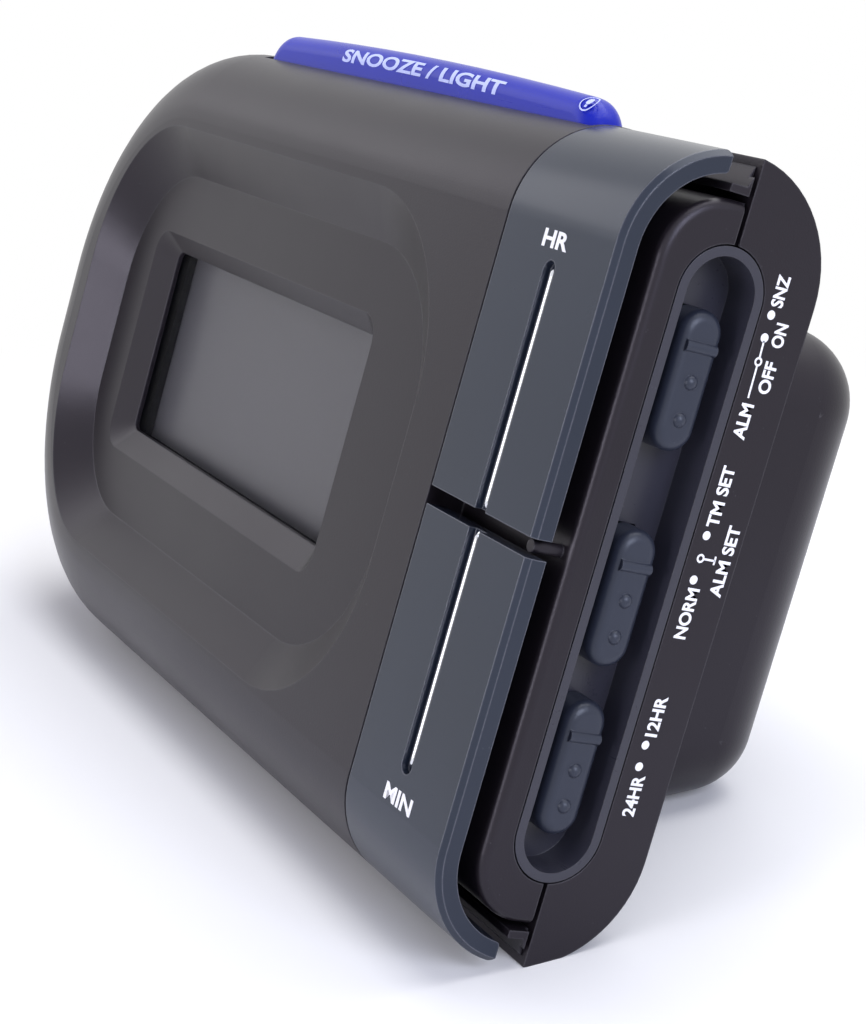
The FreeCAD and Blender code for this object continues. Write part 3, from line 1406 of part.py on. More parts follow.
def make_leads():
    gap = value("seat_gap")
    wire = value("lead_radius")
    board = value(board_back) + gap
    tail = value(f"{bay_front} - bay_wall - tail_reach")
    height = value("cell_height")
    out, aside, drop = value("lead_out"), value("lead_side"), value("lead_drop")
    for name, sign in (("positive_lead", 1), ("negative_lead", -1)):
        end_x = sign * (value(bay_half) - gap - value("contact_thickness")) - sign * (wire + gap)
        run = [
            Vector(end_x, tail + gap * 10, height),
            Vector(end_x, tail - out, height),
            Vector(end_x - sign * aside, tail - out, height - drop),
            Vector(end_x - sign * aside, board, height - drop),
        ]
        feature = doc.addObject("Part::Feature", name)
        feature.Label = name
        feature.Shape = lead(run)
        keep(feature)
    disc = value(f"{bulge_inner_top} - buzzer_step - seat_gap - 1.6 * buzzer_thickness") - gap
    solids = []
    drop = value("buzzer_lead_drop")
    for shift in (-1, 1):
        across = value("buzzer_x") + shift * value("buzzer_lead_spread")
        depth = value("buzzer_depth - buzzer_radius / 2")
        run = [
            Vector(across, depth, disc),
            Vector(across, depth, disc - drop),
            Vector(across, board, disc - drop),
        ]
        solids.append(lead(run))
    feature = doc.addObject("Part::Feature", "buzzer_leads")
    feature.Label = "buzzer_leads"
    feature.Shape = Part.makeCompound(solids)
    keep(feature)


make_front_case()
make_rear_case()
make_display()
make_main_board()
make_case_screws()
make_key("hour_key", "case_height", "-1")
make_key("minute_key", "0", "1")
make_pad("hour_key_pad", key_places("case_height", "-1")[0])
make_pad("minute_key_pad", key_places("0", "1")[0])
make_snooze_bar()
make_snooze_springs()
make_switch_tray()
for knob, wiper, height, down, up in knobs:
    make_knob(knob, wiper, height)
make_switch_board()
make_battery()
make_battery_door()
make_buzzer()
make_leads()
doc.recompute()

# The finished clock leans back about X, and its base plane comes to Z zero
lean = math.radians(value("lean_angle"))
low_front = value("front_round") * (math.cos(lean) + math.sin(lean) - 1)
rear_reach = (value("overall_depth - bulge_round")) * math.cos(lean)
rear_reach += value("bulge_top - bulge_round") * math.sin(lean) + value("bulge_round")
middle_depth = (low_front + rear_reach) / 2
base_drop = value(rest_line("0")) * math.cos(lean)
stand = Placement(Vector(0, -middle_depth, -base_drop), Rotation(Vector(1, 0, 0), -value("lean_angle")))
for piece in pieces.values():
    piece.Placement = stand.multiply(piece.Placement)
doc.recompute()

failed = [item.Name for item in doc.Objects if "Invalid" in item.State or "Error" in item.State]
if failed:
    raise RuntimeError("failed objects: " + ", ".join(failed))
for name, piece in pieces.items():
    if piece.Shape.isNull() or not piece.Shape.isValid() or piece.Shape.Volume <= 0:
        raise RuntimeError("bad shape: " + name)
for name, piece in pieces.items():
    piece.Shape.exportStep("parts/" + name + ".step")
print(len(pieces), "pieces written")
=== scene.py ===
import json
import math
import bpy
import bmesh
import numpy as np
from mathutils import Matrix, Vector


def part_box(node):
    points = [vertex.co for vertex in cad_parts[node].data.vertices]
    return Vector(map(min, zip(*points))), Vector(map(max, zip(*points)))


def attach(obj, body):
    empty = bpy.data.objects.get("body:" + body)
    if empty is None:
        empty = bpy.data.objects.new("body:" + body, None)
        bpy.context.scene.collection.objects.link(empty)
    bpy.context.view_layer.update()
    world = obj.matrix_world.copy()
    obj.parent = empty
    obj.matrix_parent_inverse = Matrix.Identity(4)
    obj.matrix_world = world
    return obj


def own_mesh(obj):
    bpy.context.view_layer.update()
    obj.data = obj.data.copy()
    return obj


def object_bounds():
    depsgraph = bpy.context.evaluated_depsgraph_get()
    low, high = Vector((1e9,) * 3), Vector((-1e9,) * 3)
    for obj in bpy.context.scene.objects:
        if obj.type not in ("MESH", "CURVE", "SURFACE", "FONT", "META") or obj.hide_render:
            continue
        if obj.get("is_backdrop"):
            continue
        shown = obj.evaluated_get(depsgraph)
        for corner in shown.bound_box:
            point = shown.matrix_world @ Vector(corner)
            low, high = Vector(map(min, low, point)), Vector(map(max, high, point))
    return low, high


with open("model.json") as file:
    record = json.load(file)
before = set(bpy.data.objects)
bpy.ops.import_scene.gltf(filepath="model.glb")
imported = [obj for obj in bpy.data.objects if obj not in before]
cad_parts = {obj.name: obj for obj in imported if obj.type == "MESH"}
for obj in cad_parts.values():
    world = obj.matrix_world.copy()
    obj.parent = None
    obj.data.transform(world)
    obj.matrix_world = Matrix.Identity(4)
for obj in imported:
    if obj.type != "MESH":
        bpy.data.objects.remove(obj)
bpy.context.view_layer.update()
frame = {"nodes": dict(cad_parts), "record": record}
nodes = frame["nodes"]
mm = 0.001


# ---- small helpers that everything below uses
posture = {"lean": math.radians(18), "back": -33.5184 * mm, "up": 3.6428 * mm}  # how the clock leans on its rear body


def toRow(points):
    # case millimetres (x across, y into the case, z up its front) turned by the lean and set on the floor
    across, deep, high = (np.atleast_2d(np.asarray(points, float)) * mm).T
    c, s = math.cos(posture["lean"]), math.sin(posture["lean"])
    return np.stack([across, deep * c + high * s + posture["back"], high * c - deep * s + posture["up"]], 1)


def srgb(red, green, blue):
    # screen values 0-255 turned into linear light
    c = np.array([red, green, blue]) / 255
    return (*np.where(c < 0.04045, c / 12.92, ((c + 0.055) / 1.055) ** 2.4), 1.0)


def link(tree, start, end):
    tree.links.new(start, end)


def newNode(tree, kind, **values):
    node = tree.nodes.new("ShaderNode" + kind)
    for name, value in values.items():
        if hasattr(node, name):
            setattr(node, name, value)
        else:
            node.inputs[name.replace("_", " ")].default_value = value
    return node


def newGroup(name, inputs, outputs):
    tree = bpy.data.node_groups.new(name, "ShaderNodeTree")
    for title, kind, value in inputs:
        socket = tree.interface.new_socket(title, in_out="INPUT", socket_type="NodeSocket" + kind)
        if value is not None:
            socket.default_value = value
    for title, kind in outputs:
        tree.interface.new_socket(title, in_out="OUTPUT", socket_type="NodeSocket" + kind)
    return tree, tree.nodes.new("NodeGroupInput"), tree.nodes.new("NodeGroupOutput")


def newMesh(name, points, faces, material, body, smooth=True):
    mesh = bpy.data.meshes.new(name)
    mesh.from_pydata(np.asarray(points).tolist(), [], [list(face) for face in faces])
    mesh.polygons.foreach_set("use_smooth", np.full(len(mesh.polygons), smooth))
    mesh.materials.append(material)
    piece = bpy.data.objects.new(name, mesh)
    bpy.context.scene.collection.objects.link(piece)
    if body:
        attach(piece, body)
    return piece


# ---- camera, light and floor
camera = {
    "place": (0.218553, -0.111351, 0.097720),
    "right": (0.463368, 0.886157, -0.003880),
    "down": (0.258945, -0.139586, -0.955753),
    "forward": (-0.847489, 0.441861, -0.294145),
    "lens": 77.154,
}
lens = bpy.data.cameras.new("camera")
lens.lens, lens.sensor_fit, lens.sensor_height = camera["lens"], "VERTICAL", 36
eye = bpy.data.objects.new("camera", lens)
axes = [Vector(camera["right"]), -Vector(camera["down"]), -Vector(camera["forward"])]
eye.matrix_world = Matrix.Translation(camera["place"]) @ Matrix(axes).transposed().to_4x4()
bpy.context.scene.collection.objects.link(eye)
bpy.context.scene.camera = eye

studio = {
    "fill": (0.82, 0.82, 1.0, 1.0), "fillStrength": 0.32,
    "floorPaint": srgb(246, 246, 246), "floorReach": 1.6, "floorPoints": 33,
    "liftNear": (0.07, 0.02), "liftFar": (0.20, 1.0),  # metres from the clock, share of plain white
    "lamps": {  # place, the point it faces, its side, watts, tint
        "top_lamp": ((-0.05, 0.22, 0.70), (0.0, 0.0, 0.02), 0.70, 5.0, (1.0, 1.0, 1.0)),
        "left_lamp": ((-0.55, -0.38, 0.48), (0.0, 0.0, 0.04), 0.50, 0.9, (1.0, 0.98, 1.0)),
        "front_lamp": ((0.15, -0.72, 0.17), (0.0, 0.0, 0.04), 0.30, 2.4, (0.96, 0.95, 1.0)),
        "right_lamp": ((0.70, 0.05, 0.40), (0.0, 0.0, 0.04), 0.45, 4.0, (0.80, 0.84, 1.0)),
    },
}


def seenRays(tree):
    # 1 for rays from the camera, off gloss and through glass, which see the plain white background
    path = newNode(tree, "LightPath")
    both = newNode(tree, "Math", operation="MAXIMUM")
    every = newNode(tree, "Math", operation="MAXIMUM")
    link(tree, path.outputs["Is Camera Ray"], both.inputs[0])
    link(tree, path.outputs["Is Glossy Ray"], both.inputs[1])
    link(tree, both.outputs[0], every.inputs[0])
    link(tree, path.outputs["Is Transmission Ray"], every.inputs[1])
    return every.outputs[0]


world = bpy.data.worlds.new("studio")
world.use_nodes = True
tree = world.node_tree
tree.nodes.clear()
white = newNode(tree, "Background", Color=(1, 1, 1, 1), Strength=1.0)
fill = newNode(tree, "Background", Color=studio["fill"], Strength=studio["fillStrength"])
choose = newNode(tree, "MixShader")
output = newNode(tree, "OutputWorld")
link(tree, seenRays(tree), choose.inputs[0])
link(tree, fill.outputs[0], choose.inputs[1])
link(tree, white.outputs[0], choose.inputs[2])
link(tree, choose.outputs[0], output.inputs["Surface"])
bpy.context.scene.world = world
bpy.context.scene.view_settings.view_transform = "Standard"

for name, (place, aim, size, power, tint) in studio["lamps"].items():
    data = bpy.data.lights.new(name, "AREA")
    data.shape, data.size, data.energy, data.color = "SQUARE", size, power, tint
    lamp = bpy.data.objects.new(name, data)
    lamp.location = place
    lamp.rotation_euler = (Vector(aim) - Vector(place)).to_track_quat("-Z", "Y").to_euler()
    bpy.context.scene.collection.objects.link(lamp)

paint = bpy.data.materials.new("floor_paint")
paint.use_nodes = True
tree = paint.node_tree
shader = tree.nodes["Principled BSDF"]
shader.inputs["Base Color"].default_value = studio["floorPaint"]
shader.inputs["Roughness"].default_value = 0.9
shader.inputs["Specular IOR Level"].default_value = 0.1
glow = newNode(tree, "Emission", Color=(1, 1, 1, 1), Strength=1.0)
lifted = newNode(tree, "MixShader")
reach = newNode(tree, "VectorMath", operation="LENGTH")  # white takes over with the distance, so the shadow stays
link(tree, newNode(tree, "TexCoord").outputs["Object"], reach.inputs[0])
grow = newNode(tree, "MapRange", interpolation_type="SMOOTHSTEP")
for title, value in zip(("From Min", "To Min", "From Max", "To Max"), (*studio["liftNear"], *studio["liftFar"])):
    grow.inputs[title].default_value = value
link(tree, reach.outputs["Value"], grow.inputs["Value"])
link(tree, grow.outputs[0], lifted.inputs[0])
choose = newNode(tree, "MixShader")
link(tree, shader.outputs[0], lifted.inputs[1])
link(tree, glow.outputs[0], lifted.inputs[2])
link(tree, seenRays(tree), choose.inputs[0])
link(tree, shader.outputs[0], choose.inputs[1])
link(tree, lifted.outputs[0], choose.inputs[2])
link(tree, choose.outputs[0], tree.nodes["Material Output"].inputs["Surface"])
count = studio["floorPoints"]
line = np.linspace(-1, 1, count) * studio["floorReach"]
across, along = np.meshgrid(line, line)
sheet = np.stack([across.ravel(), along.ravel(), 0 * across.ravel()], 1)
row = np.arange(count - 1)
quads = (row[:, None] * count + row[None, :]).ravel()
quads = np.stack([quads, quads + 1, quads + count + 1, quads + count], 1)
floor = newMesh("floor", sheet, quads, paint, None)
floor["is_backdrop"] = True
print("studio ready")


# ---- effects that several finishes share
def makeMoulding():
    # moulded plastic: slow drift of tone, fine texture of the tool steel, light rubbed marks, and paler sharp edges,
    # partly wear and partly a painted highlight along the edges
    tree, start, end = newGroup(
        "moulding",
        [("Vector", "Vector", None), ("Color", "Color", (0.1, 0.1, 0.1, 1)), ("Drift", "Float", 0.1),
         ("Grain Scale", "Float", 5000.0), ("Grain Depth", "Float", 0.00001), ("Roughness", "Float", 0.4),
         ("Rub", "Float", 0.05), ("Edge", "Float", 0.0), ("Wear And Highlight", "Float", 0.0)],
        [("Color", "Color"), ("Roughness", "Float"), ("Normal", "Vector")],
    )
    soft = newNode(tree, "Bevel", samples=4)  # a sharp corner shaded as a small round
    link(tree, start.outputs["Edge"], soft.inputs["Radius"])
    flat = newNode(tree, "NewGeometry")
    turn = newNode(tree, "VectorMath", operation="DOT_PRODUCT")
    link(tree, soft.outputs[0], turn.inputs[0])
    link(tree, flat.outputs["Normal"], turn.inputs[1])
    # sharp edges are paled by the amount given: partly wear, partly a painted highlight along the edges
    corner = newNode(tree, "MapRange")
    corner.inputs["From Min"].default_value, corner.inputs["From Max"].default_value = 0.995, 0.90
    link(tree, turn.outputs["Value"], corner.inputs["Value"])
    edge_wear_and_highlight = newNode(tree, "Math", operation="MULTIPLY")
    link(tree, corner.outputs[0], edge_wear_and_highlight.inputs[0])
    link(tree, start.outputs["Wear And Highlight"], edge_wear_and_highlight.inputs[1])
    cloud = newNode(tree, "TexNoise", Scale=55.0, Detail=3.0, Roughness=0.5)
    link(tree, start.outputs["Vector"], cloud.inputs["Vector"])
    centred = newNode(tree, "Math", operation="SUBTRACT")
    centred.inputs[1].default_value = 0.5
    link(tree, cloud.outputs["Fac"], centred.inputs[0])
    swing = newNode(tree, "Math", operation="MULTIPLY_ADD")
    swing.inputs[2].default_value = 1.0
    link(tree, centred.outputs[0], swing.inputs[0])
    link(tree, start.outputs["Drift"], swing.inputs[1])
    tone = newNode(tree, "VectorMath", operation="SCALE")
    link(tree, start.outputs["Color"], tone.inputs[0])
    link(tree, swing.outputs[0], tone.inputs["Scale"])
    paled = newNode(tree, "Mix", data_type="RGBA")
    paled.inputs[7].default_value = (0.30, 0.30, 0.34, 1)
    link(tree, edge_wear_and_highlight.outputs[0], paled.inputs["Factor"])
    link(tree, tone.outputs[0], paled.inputs[6])
    link(tree, paled.outputs[2], end.inputs["Color"])
    grain = newNode(tree, "TexNoise", Detail=2.0, Roughness=0.6)
    link(tree, start.outputs["Vector"], grain.inputs["Vector"])
    link(tree, start.outputs["Grain Scale"], grain.inputs["Scale"])
    stretch = newNode(tree, "Mapping")
    stretch.inputs["Rotation"].default_value = (0.5, 0.35, 0.8)
    stretch.inputs["Scale"].default_value = (60, 1400, 1400)
    link(tree, start.outputs["Vector"], stretch.inputs["Vector"])
    marks = newNode(tree, "TexNoise", Scale=1.0, Detail=4.0, Roughness=0.7)
    link(tree, stretch.outputs[0], marks.inputs["Vector"])
    sharp = newNode(tree, "MapRange")
    sharp.inputs["From Min"].default_value, sharp.inputs["From Max"].default_value = 0.58, 0.72
    link(tree, marks.outputs["Fac"], sharp.inputs["Value"])
    rubbed = newNode(tree, "Math", operation="MULTIPLY")
    link(tree, sharp.outputs[0], rubbed.inputs[0])
    link(tree, start.outputs["Rub"], rubbed.inputs[1])
    fine = newNode(tree, "Math", operation="MULTIPLY_ADD")
    fine.inputs[1].default_value = 0.12
    link(tree, centred.outputs[0], fine.inputs[0])
    link(tree, start.outputs["Roughness"], fine.inputs[2])
    rough = newNode(tree, "Math", operation="SUBTRACT", use_clamp=True)
    link(tree, fine.outputs[0], rough.inputs[0])
    link(tree, rubbed.outputs[0], rough.inputs[1])
    link(tree, rough.outputs[0], end.inputs["Roughness"])
    bump = newNode(tree, "Bump", Strength=1.0)
    link(tree, grain.outputs["Fac"], bump.inputs["Height"])
    link(tree, start.outputs["Grain Depth"], bump.inputs["Distance"])
    link(tree, soft.outputs[0], bump.inputs["Normal"])
    link(tree, bump.outputs[0], end.inputs["Normal"])
    return tree


def makeDust():
    # sparse pale specks: the middles of scattered cells, kept where a second pattern is high
    tree, start, end = newGroup(
        "dust", [("Vector", "Vector", None), ("Color", "Color", (0.1, 0.1, 0.1, 1)), ("Amount", "Float", 0.3)],
        [("Color", "Color")],
    )
    cells = newNode(tree, "TexVoronoi", Scale=1300.0, Randomness=1.0)
    link(tree, start.outputs["Vector"], cells.inputs["Vector"])
    speck = newNode(tree, "MapRange")
    speck.inputs["From Min"].default_value, speck.inputs["From Max"].default_value = 0.10, 0.04
    link(tree, cells.outputs["Distance"], speck.inputs["Value"])
    patches = newNode(tree, "TexNoise", Scale=260.0, Detail=2.0)
    link(tree, start.outputs["Vector"], patches.inputs["Vector"])
    here = newNode(tree, "MapRange")
    here.inputs["From Min"].default_value, here.inputs["From Max"].default_value = 0.56, 0.66
    link(tree, patches.outputs["Fac"], here.inputs["Value"])
    both = newNode(tree, "Math", operation="MULTIPLY")
    link(tree, speck.outputs[0], both.inputs[0])
    link(tree, here.outputs[0], both.inputs[1])
    share = newNode(tree, "Math", operation="MULTIPLY")
    link(tree, both.outputs[0], share.inputs[0])
    link(tree, start.outputs["Amount"], share.inputs[1])
    mix = newNode(tree, "Mix", data_type="RGBA")
    link(tree, share.outputs[0], mix.inputs["Factor"])
    link(tree, start.outputs["Color"], mix.inputs[6])
    mix.inputs[7].default_value = (0.25, 0.24, 0.27, 1)
    link(tree, mix.outputs[2], end.inputs["Color"])
    return tree


def makeMetalSkin():
    # drawn or turned metal: fine streaks along one direction and cloudy tarnish
    tree, start, end = newGroup(
        "metalSkin",
        [("Vector", "Vector", None), ("Bright", "Color", (0.6, 0.6, 0.6, 1)), ("Dull", "Color", (0.3, 0.3, 0.3, 1)),
         ("Streaks", "Vector", (4000, 4000, 300)), ("Roughness", "Float", 0.3)],
        [("Color", "Color"), ("Roughness", "Float"), ("Normal", "Vector")],
    )
    cloud = newNode(tree, "TexNoise", Scale=350.0, Detail=4.0)
    link(tree, start.outputs["Vector"], cloud.inputs["Vector"])
    mix = newNode(tree, "Mix", data_type="RGBA")
    link(tree, cloud.outputs["Fac"], mix.inputs["Factor"])
    link(tree, start.outputs["Bright"], mix.inputs[6])
    link(tree, start.outputs["Dull"], mix.inputs[7])
    link(tree, mix.outputs[2], end.inputs["Color"])
    scaled = newNode(tree, "VectorMath", operation="MULTIPLY")
    link(tree, start.outputs["Vector"], scaled.inputs[0])
    link(tree, start.outputs["Streaks"], scaled.inputs[1])
    streaks = newNode(tree, "TexNoise", Scale=1.0, Detail=3.0)
    link(tree, scaled.outputs[0], streaks.inputs["Vector"])
    rough = newNode(tree, "Math", operation="MULTIPLY_ADD")
    rough.inputs[1].default_value = 0.2
    link(tree, streaks.outputs["Fac"], rough.inputs[0])
    link(tree, start.outputs["Roughness"], rough.inputs[2])
    link(tree, rough.outputs[0], end.inputs["Roughness"])
    bump = newNode(tree, "Bump", Strength=0.5, Distance=0.00001)
    link(tree, streaks.outputs["Fac"], bump.inputs["Height"])
    link(tree, bump.outputs[0], end.inputs["Normal"])
    return tree


moulding, dust, metalSkin = makeMoulding(), makeDust(), makeMetalSkin()


def newFinish(name, **values):
    finish = bpy.data.materials.new(name)
    finish.use_nodes = True
    tree = finish.node_tree
    shader = tree.nodes["Principled BSDF"]
    for title, value in values.items():
        shader.inputs[title.replace("_", " ")].default_value = value
    place = newNode(tree, "TexCoord").outputs["Object"]
    return finish, tree, shader, place


def placeGroup(tree, group, place, values):
    node = newNode(tree, "Group")
    node.node_tree = group
    link(tree, place, node.inputs["Vector"])
    for title, value in values.items():
        node.inputs[title].default_value = value
    return node


def plastic(name, color, rough=0.4, drift=0.25, grain=(5200.0, 0.000012), rub=0.03, specks=0.2, edge=0.0,
            wear=0.0, **shine):
    finish, tree, shader, place = newFinish(name, **shine)
    skin = placeGroup(tree, moulding, place, {
        "Color": color, "Drift": drift, "Grain Scale": grain[0], "Grain Depth": grain[1], "Roughness": rough,
        "Rub": rub, "Edge": edge, "Wear And Highlight": wear,
    })
    specked = placeGroup(tree, dust, place, {"Amount": specks})
    link(tree, skin.outputs["Color"], specked.inputs["Color"])
    link(tree, specked.outputs["Color"], shader.inputs["Base Color"])
    link(tree, skin.outputs["Roughness"], shader.inputs["Roughness"])
    link(tree, skin.outputs["Normal"], shader.inputs["Normal"])
    return finish


def metal(name, bright, dull, streaks=(4000, 4000, 300), rough=0.25):
    finish, tree, shader, place = newFinish(name, Metallic=1.0)
    skin = placeGroup(tree, metalSkin, place, {"Bright": bright, "Dull": dull, "Streaks": streaks, "Roughness": rough})
    for title, socket in (("Color", "Base Color"), ("Roughness", "Roughness"), ("Normal", "Normal")):
        link(tree, skin.outputs[title], shader.inputs[socket])
    return finish


finishes = {
    # the paled edges of the case, keys and knobs are partly wear, partly a painted highlight
    "case_plastic": plastic(
        "case_plastic", (0.011, 0.009, 0.012, 1), 0.33, edge=0.22 * mm, wear=0.12, rub=0.02,
        Specular_IOR_Level=0.33, Specular_Tint=(0.90, 0.86, 1.0, 1)),
    "key_plastic": plastic(
        "key_plastic", (0.014, 0.019, 0.033, 1), 0.22, grain=(2600.0, 0.000003), edge=0.18 * mm, wear=0.45, rub=0.03,
        Specular_IOR_Level=0.42, Specular_Tint=(0.88, 0.92, 1.0, 1)),
    "knob_plastic": plastic(
        "knob_plastic", (0.022, 0.026, 0.042, 1), 0.34, edge=0.12 * mm, wear=0.08,
        Specular_IOR_Level=0.40, Specular_Tint=(0.88, 0.92, 1.0, 1)),
    "tray_plastic": plastic(
        "tray_plastic", (0.030, 0.030, 0.044, 1), 0.30, edge=0.12 * mm, wear=0.0, Specular_IOR_Level=0.42),
    "bar_plastic": plastic(
        "bar_plastic", (0.008, 0.016, 0.36, 1), 0.28, grain=(2600.0, 0.000003), edge=0.14 * mm, rub=0.02,
        Specular_IOR_Level=0.22, Specular_Tint=(0.80, 0.84, 1.0, 1)),
    "frame_plastic": plastic("frame_plastic", (0.0015, 0.0015, 0.003, 1), 0.6, specks=0.0, Specular_IOR_Level=0.05),
    "led_white": plastic("led_white", (0.75, 0.74, 0.62, 1), 0.3),
    "chip_resin": plastic("chip_resin", (0.010, 0.010, 0.011, 1), 0.3, grain=(900.0, 0.00003)),
    "sleeve_black": plastic("sleeve_black", (0.012, 0.012, 0.014, 1), 0.4),
    "switch_body": plastic("switch_body", (0.03, 0.03, 0.03, 1), 0.4),
    "strip_rubber": plastic("strip_rubber", (0.55, 0.28, 0.30, 1), 0.6),
    "pad_rubber": plastic("pad_rubber", (0.30, 0.30, 0.32, 1), 0.6),
    "ribbon_white": plastic("ribbon_white", (0.70, 0.70, 0.68, 1), 0.4),
    "red_wire": plastic("red_wire", (0.50, 0.02, 0.02, 1), 0.35),
    "black_wire": plastic("black_wire", (0.015, 0.015, 0.015, 1), 0.35),
    "buzzer_wire": plastic("buzzer_wire", (0.40, 0.40, 0.42, 1), 0.35),
    # polished metal of the groove beads, which stand in for a line of reflected light: a painted highlight
    "groove_highlight_metal": metal("groove_highlight_metal", (0.78, 0.79, 0.84, 1), (0.62, 0.63, 0.68, 1), rough=0.06),
    "can_metal": metal("can_metal", (0.70, 0.70, 0.68, 1), (0.50, 0.50, 0.48, 1)),
    "spring_steel": metal("spring_steel", (0.62, 0.62, 0.60, 1), (0.40, 0.40, 0.39, 1)),
    "nickel": metal("nickel", (0.72, 0.70, 0.64, 1), (0.55, 0.53, 0.48, 1)),
    "screw_steel": metal("screw_steel", (0.55, 0.55, 0.55, 1), (0.30, 0.30, 0.30, 1)),
    "wiper_brass": metal("wiper_brass", (0.80, 0.58, 0.25, 1), (0.55, 0.38, 0.16, 1)),
    "buzzer_brass": metal("buzzer_brass", (0.82, 0.62, 0.30, 1), (0.58, 0.42, 0.20, 1)),
}


def makeDisplay():
    # grey liquid crystal cell with a slow drift of tone, under a thin coat
    finish, tree, shader, place = newFinish("display_glass", Coat_Weight=0.4, Coat_Roughness=0.3)
    skin = placeGroup(tree, moulding, place, {
        "Color": (0.115, 0.112, 0.128, 1), "Drift": 0.12, "Grain Depth": 0.0, "Roughness": 0.4, "Rub": 0.0})
    link(tree, skin.outputs["Color"], shader.inputs["Base Color"])
    link(tree, skin.outputs["Roughness"], shader.inputs["Roughness"])
    return finish


def makeClear(name, tint, alpha, rough):
    finish, tree, shader, place = newFinish(name, Alpha=alpha, Specular_IOR_Level=0.25)
    skin = placeGroup(tree, moulding, place, {
        "Color": tint, "Drift": 0.1, "Grain Depth": 0.0, "Roughness": rough, "Rub": 0.0})
    link(tree, skin.outputs["Color"], shader.inputs["Base Color"])
    link(tree, skin.outputs["Roughness"], shader.inputs["Roughness"])
    return finish


def makeBoard():
    # green lacquer over copper tracks: the borders of scattered cells are lighter and stand a hair higher
    finish, tree, shader, place = newFinish("board_green", Coat_Weight=0.3, Coat_Roughness=0.2)
    cells = newNode(tree, "TexVoronoi", Scale=420.0, feature="DISTANCE_TO_EDGE")
    link(tree, place, cells.inputs["Vector"])
    track = newNode(tree, "MapRange")
    track.inputs["From Min"].default_value, track.inputs["From Max"].default_value = 0.10, 0.14
    link(tree, cells.outputs["Distance"], track.inputs["Value"])
    mix = newNode(tree, "Mix", data_type="RGBA")
    mix.inputs[6].default_value, mix.inputs[7].default_value = (0.035, 0.17, 0.07, 1), (0.015, 0.10, 0.04, 1)
    link(tree, track.outputs[0], mix.inputs["Factor"])
    link(tree, mix.outputs[2], shader.inputs["Base Color"])
    bump = newNode(tree, "Bump", Strength=1.0, Distance=0.00003, invert=True)
    link(tree, track.outputs[0], bump.inputs["Height"])
    link(tree, bump.outputs[0], shader.inputs["Normal"])
    shader.inputs["Roughness"].default_value = 0.35
    return finish


jacket = [  # where along the cell each colour starts: metal end, slate body, dark line, pale band
    (0.0, (0.50, 0.50, 0.50, 1)), (0.02, (0.07, 0.10, 0.13, 1)),
    (0.80, (0.03, 0.04, 0.05, 1)), (0.82, (0.40, 0.41, 0.42, 1)),
]


def makeCell():
    # plain battery wrap, its bands set by the distance along the cell
    finish, tree, shader, place = newFinish("cell_jacket", Metallic=0.3)
    low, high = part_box("battery")
    split = newNode(tree, "SeparateXYZ")
    link(tree, place, split.inputs[0])
    ramp = newNode(tree, "ValToRGB")
    ramp.color_ramp.interpolation = "CONSTANT"
    for index, (where, color) in enumerate(jacket):
        stop = ramp.color_ramp.elements[index] if index < 2 else ramp.color_ramp.elements.new(where)
        stop.position, stop.color = where, color
    reach = newNode(tree, "MapRange")
    reach.inputs["From Min"].default_value, reach.inputs["From Max"].default_value = low[0], high[0]
    link(tree, split.outputs["X"], reach.inputs["Value"])
    link(tree, reach.outputs[0], ramp.inputs["Fac"])
    skin = placeGroup(tree, moulding, place, {"Drift": 0.1, "Grain Depth": 0.000004, "Roughness": 0.28})
    link(tree, ramp.outputs["Color"], skin.inputs["Color"])
    for title, socket in (("Color", "Base Color"), ("Roughness", "Roughness"), ("Normal", "Normal")):
        link(tree, skin.outputs[title], shader.inputs[socket])
    return finish


finishes["display_glass"] = makeDisplay()
finishes["clear_plastic"] = makeClear("clear_plastic", (0.02, 0.02, 0.025, 1), 0.12, 0.24)
finishes["light_plastic"] = makeClear("light_plastic", (0.6, 0.65, 0.6, 1), 0.5, 0.3)
finishes["board_green"] = makeBoard()
finishes["cell_jacket"] = makeCell()

partSlots = {part["node"]: part["material"] for part in frame["record"].get("parts", [])
             if "node" in part and "material" in part}
for name, piece in nodes.items():
    for slot in piece.material_slots:
        title = slot.material.name.split(".")[0] if slot.material else ""
        slot.material = finishes[title if title in finishes else partSlots.get(name, "case_plastic")]
print("finishes on", len(nodes), "nodes")


# ---- printed legends: plain generic words for the controls
legend = {"ink": (0.84, 0.84, 0.88, 1), "lift": 0.02, "thickness": 0.02, "bold": 0.03,
          "side": 65, "sideHeight": 1.37}  # where the right-hand face stands, and the height of its letters
ink = plastic("legend_ink", legend["ink"], 0.5, drift=0.2, grain=(9000.0, 0.000004), specks=0.0)


def wordMesh(words, bold, slices=0):
    # outline of the words in the plain built-in letter, height of a capital made 1 and start of the line at 0
    curve = bpy.data.curves.new(words, "FONT")
    curve.body, curve.resolution_u, curve.extrude = words, 4, 0.01
    curve.offset = bold
    thing = bpy.data.objects.new(words, curve)
    bpy.context.scene.collection.objects.link(thing)
    bpy.context.view_layer.update()
    mesh = bpy.data.meshes.new_from_object(thing.evaluated_get(bpy.context.evaluated_depsgraph_get()))
    bpy.data.objects.remove(thing)
    if slices:  # cut across at even heights, so that the letters can follow a round
        cut = bmesh.new()
        cut.from_mesh(mesh)
        tops = [point.co.y for point in cut.verts]
        for height in np.linspace(min(tops), max(tops), slices + 2)[1:-1]:
            bmesh.ops.bisect_plane(cut, geom=[*cut.verts, *cut.edges, *cut.faces],
                                   plane_co=(0, height, 0), plane_no=(0, 1, 0))
        cut.to_mesh(mesh)
        cut.free()
    points = np.empty(len(mesh.vertices) * 3)
    mesh.vertices.foreach_get("co", points)
    faces = [tuple(face.vertices) for face in mesh.polygons]
    bpy.data.meshes.remove(mesh)
    points = points.reshape(-1, 3)
    low, high = points.min(0), points.max(0)
    points = (points - low) / (high[1] - low[1])
    points[:, 2] = points[:, 2] / points[:, 2].max()
    return points, faces


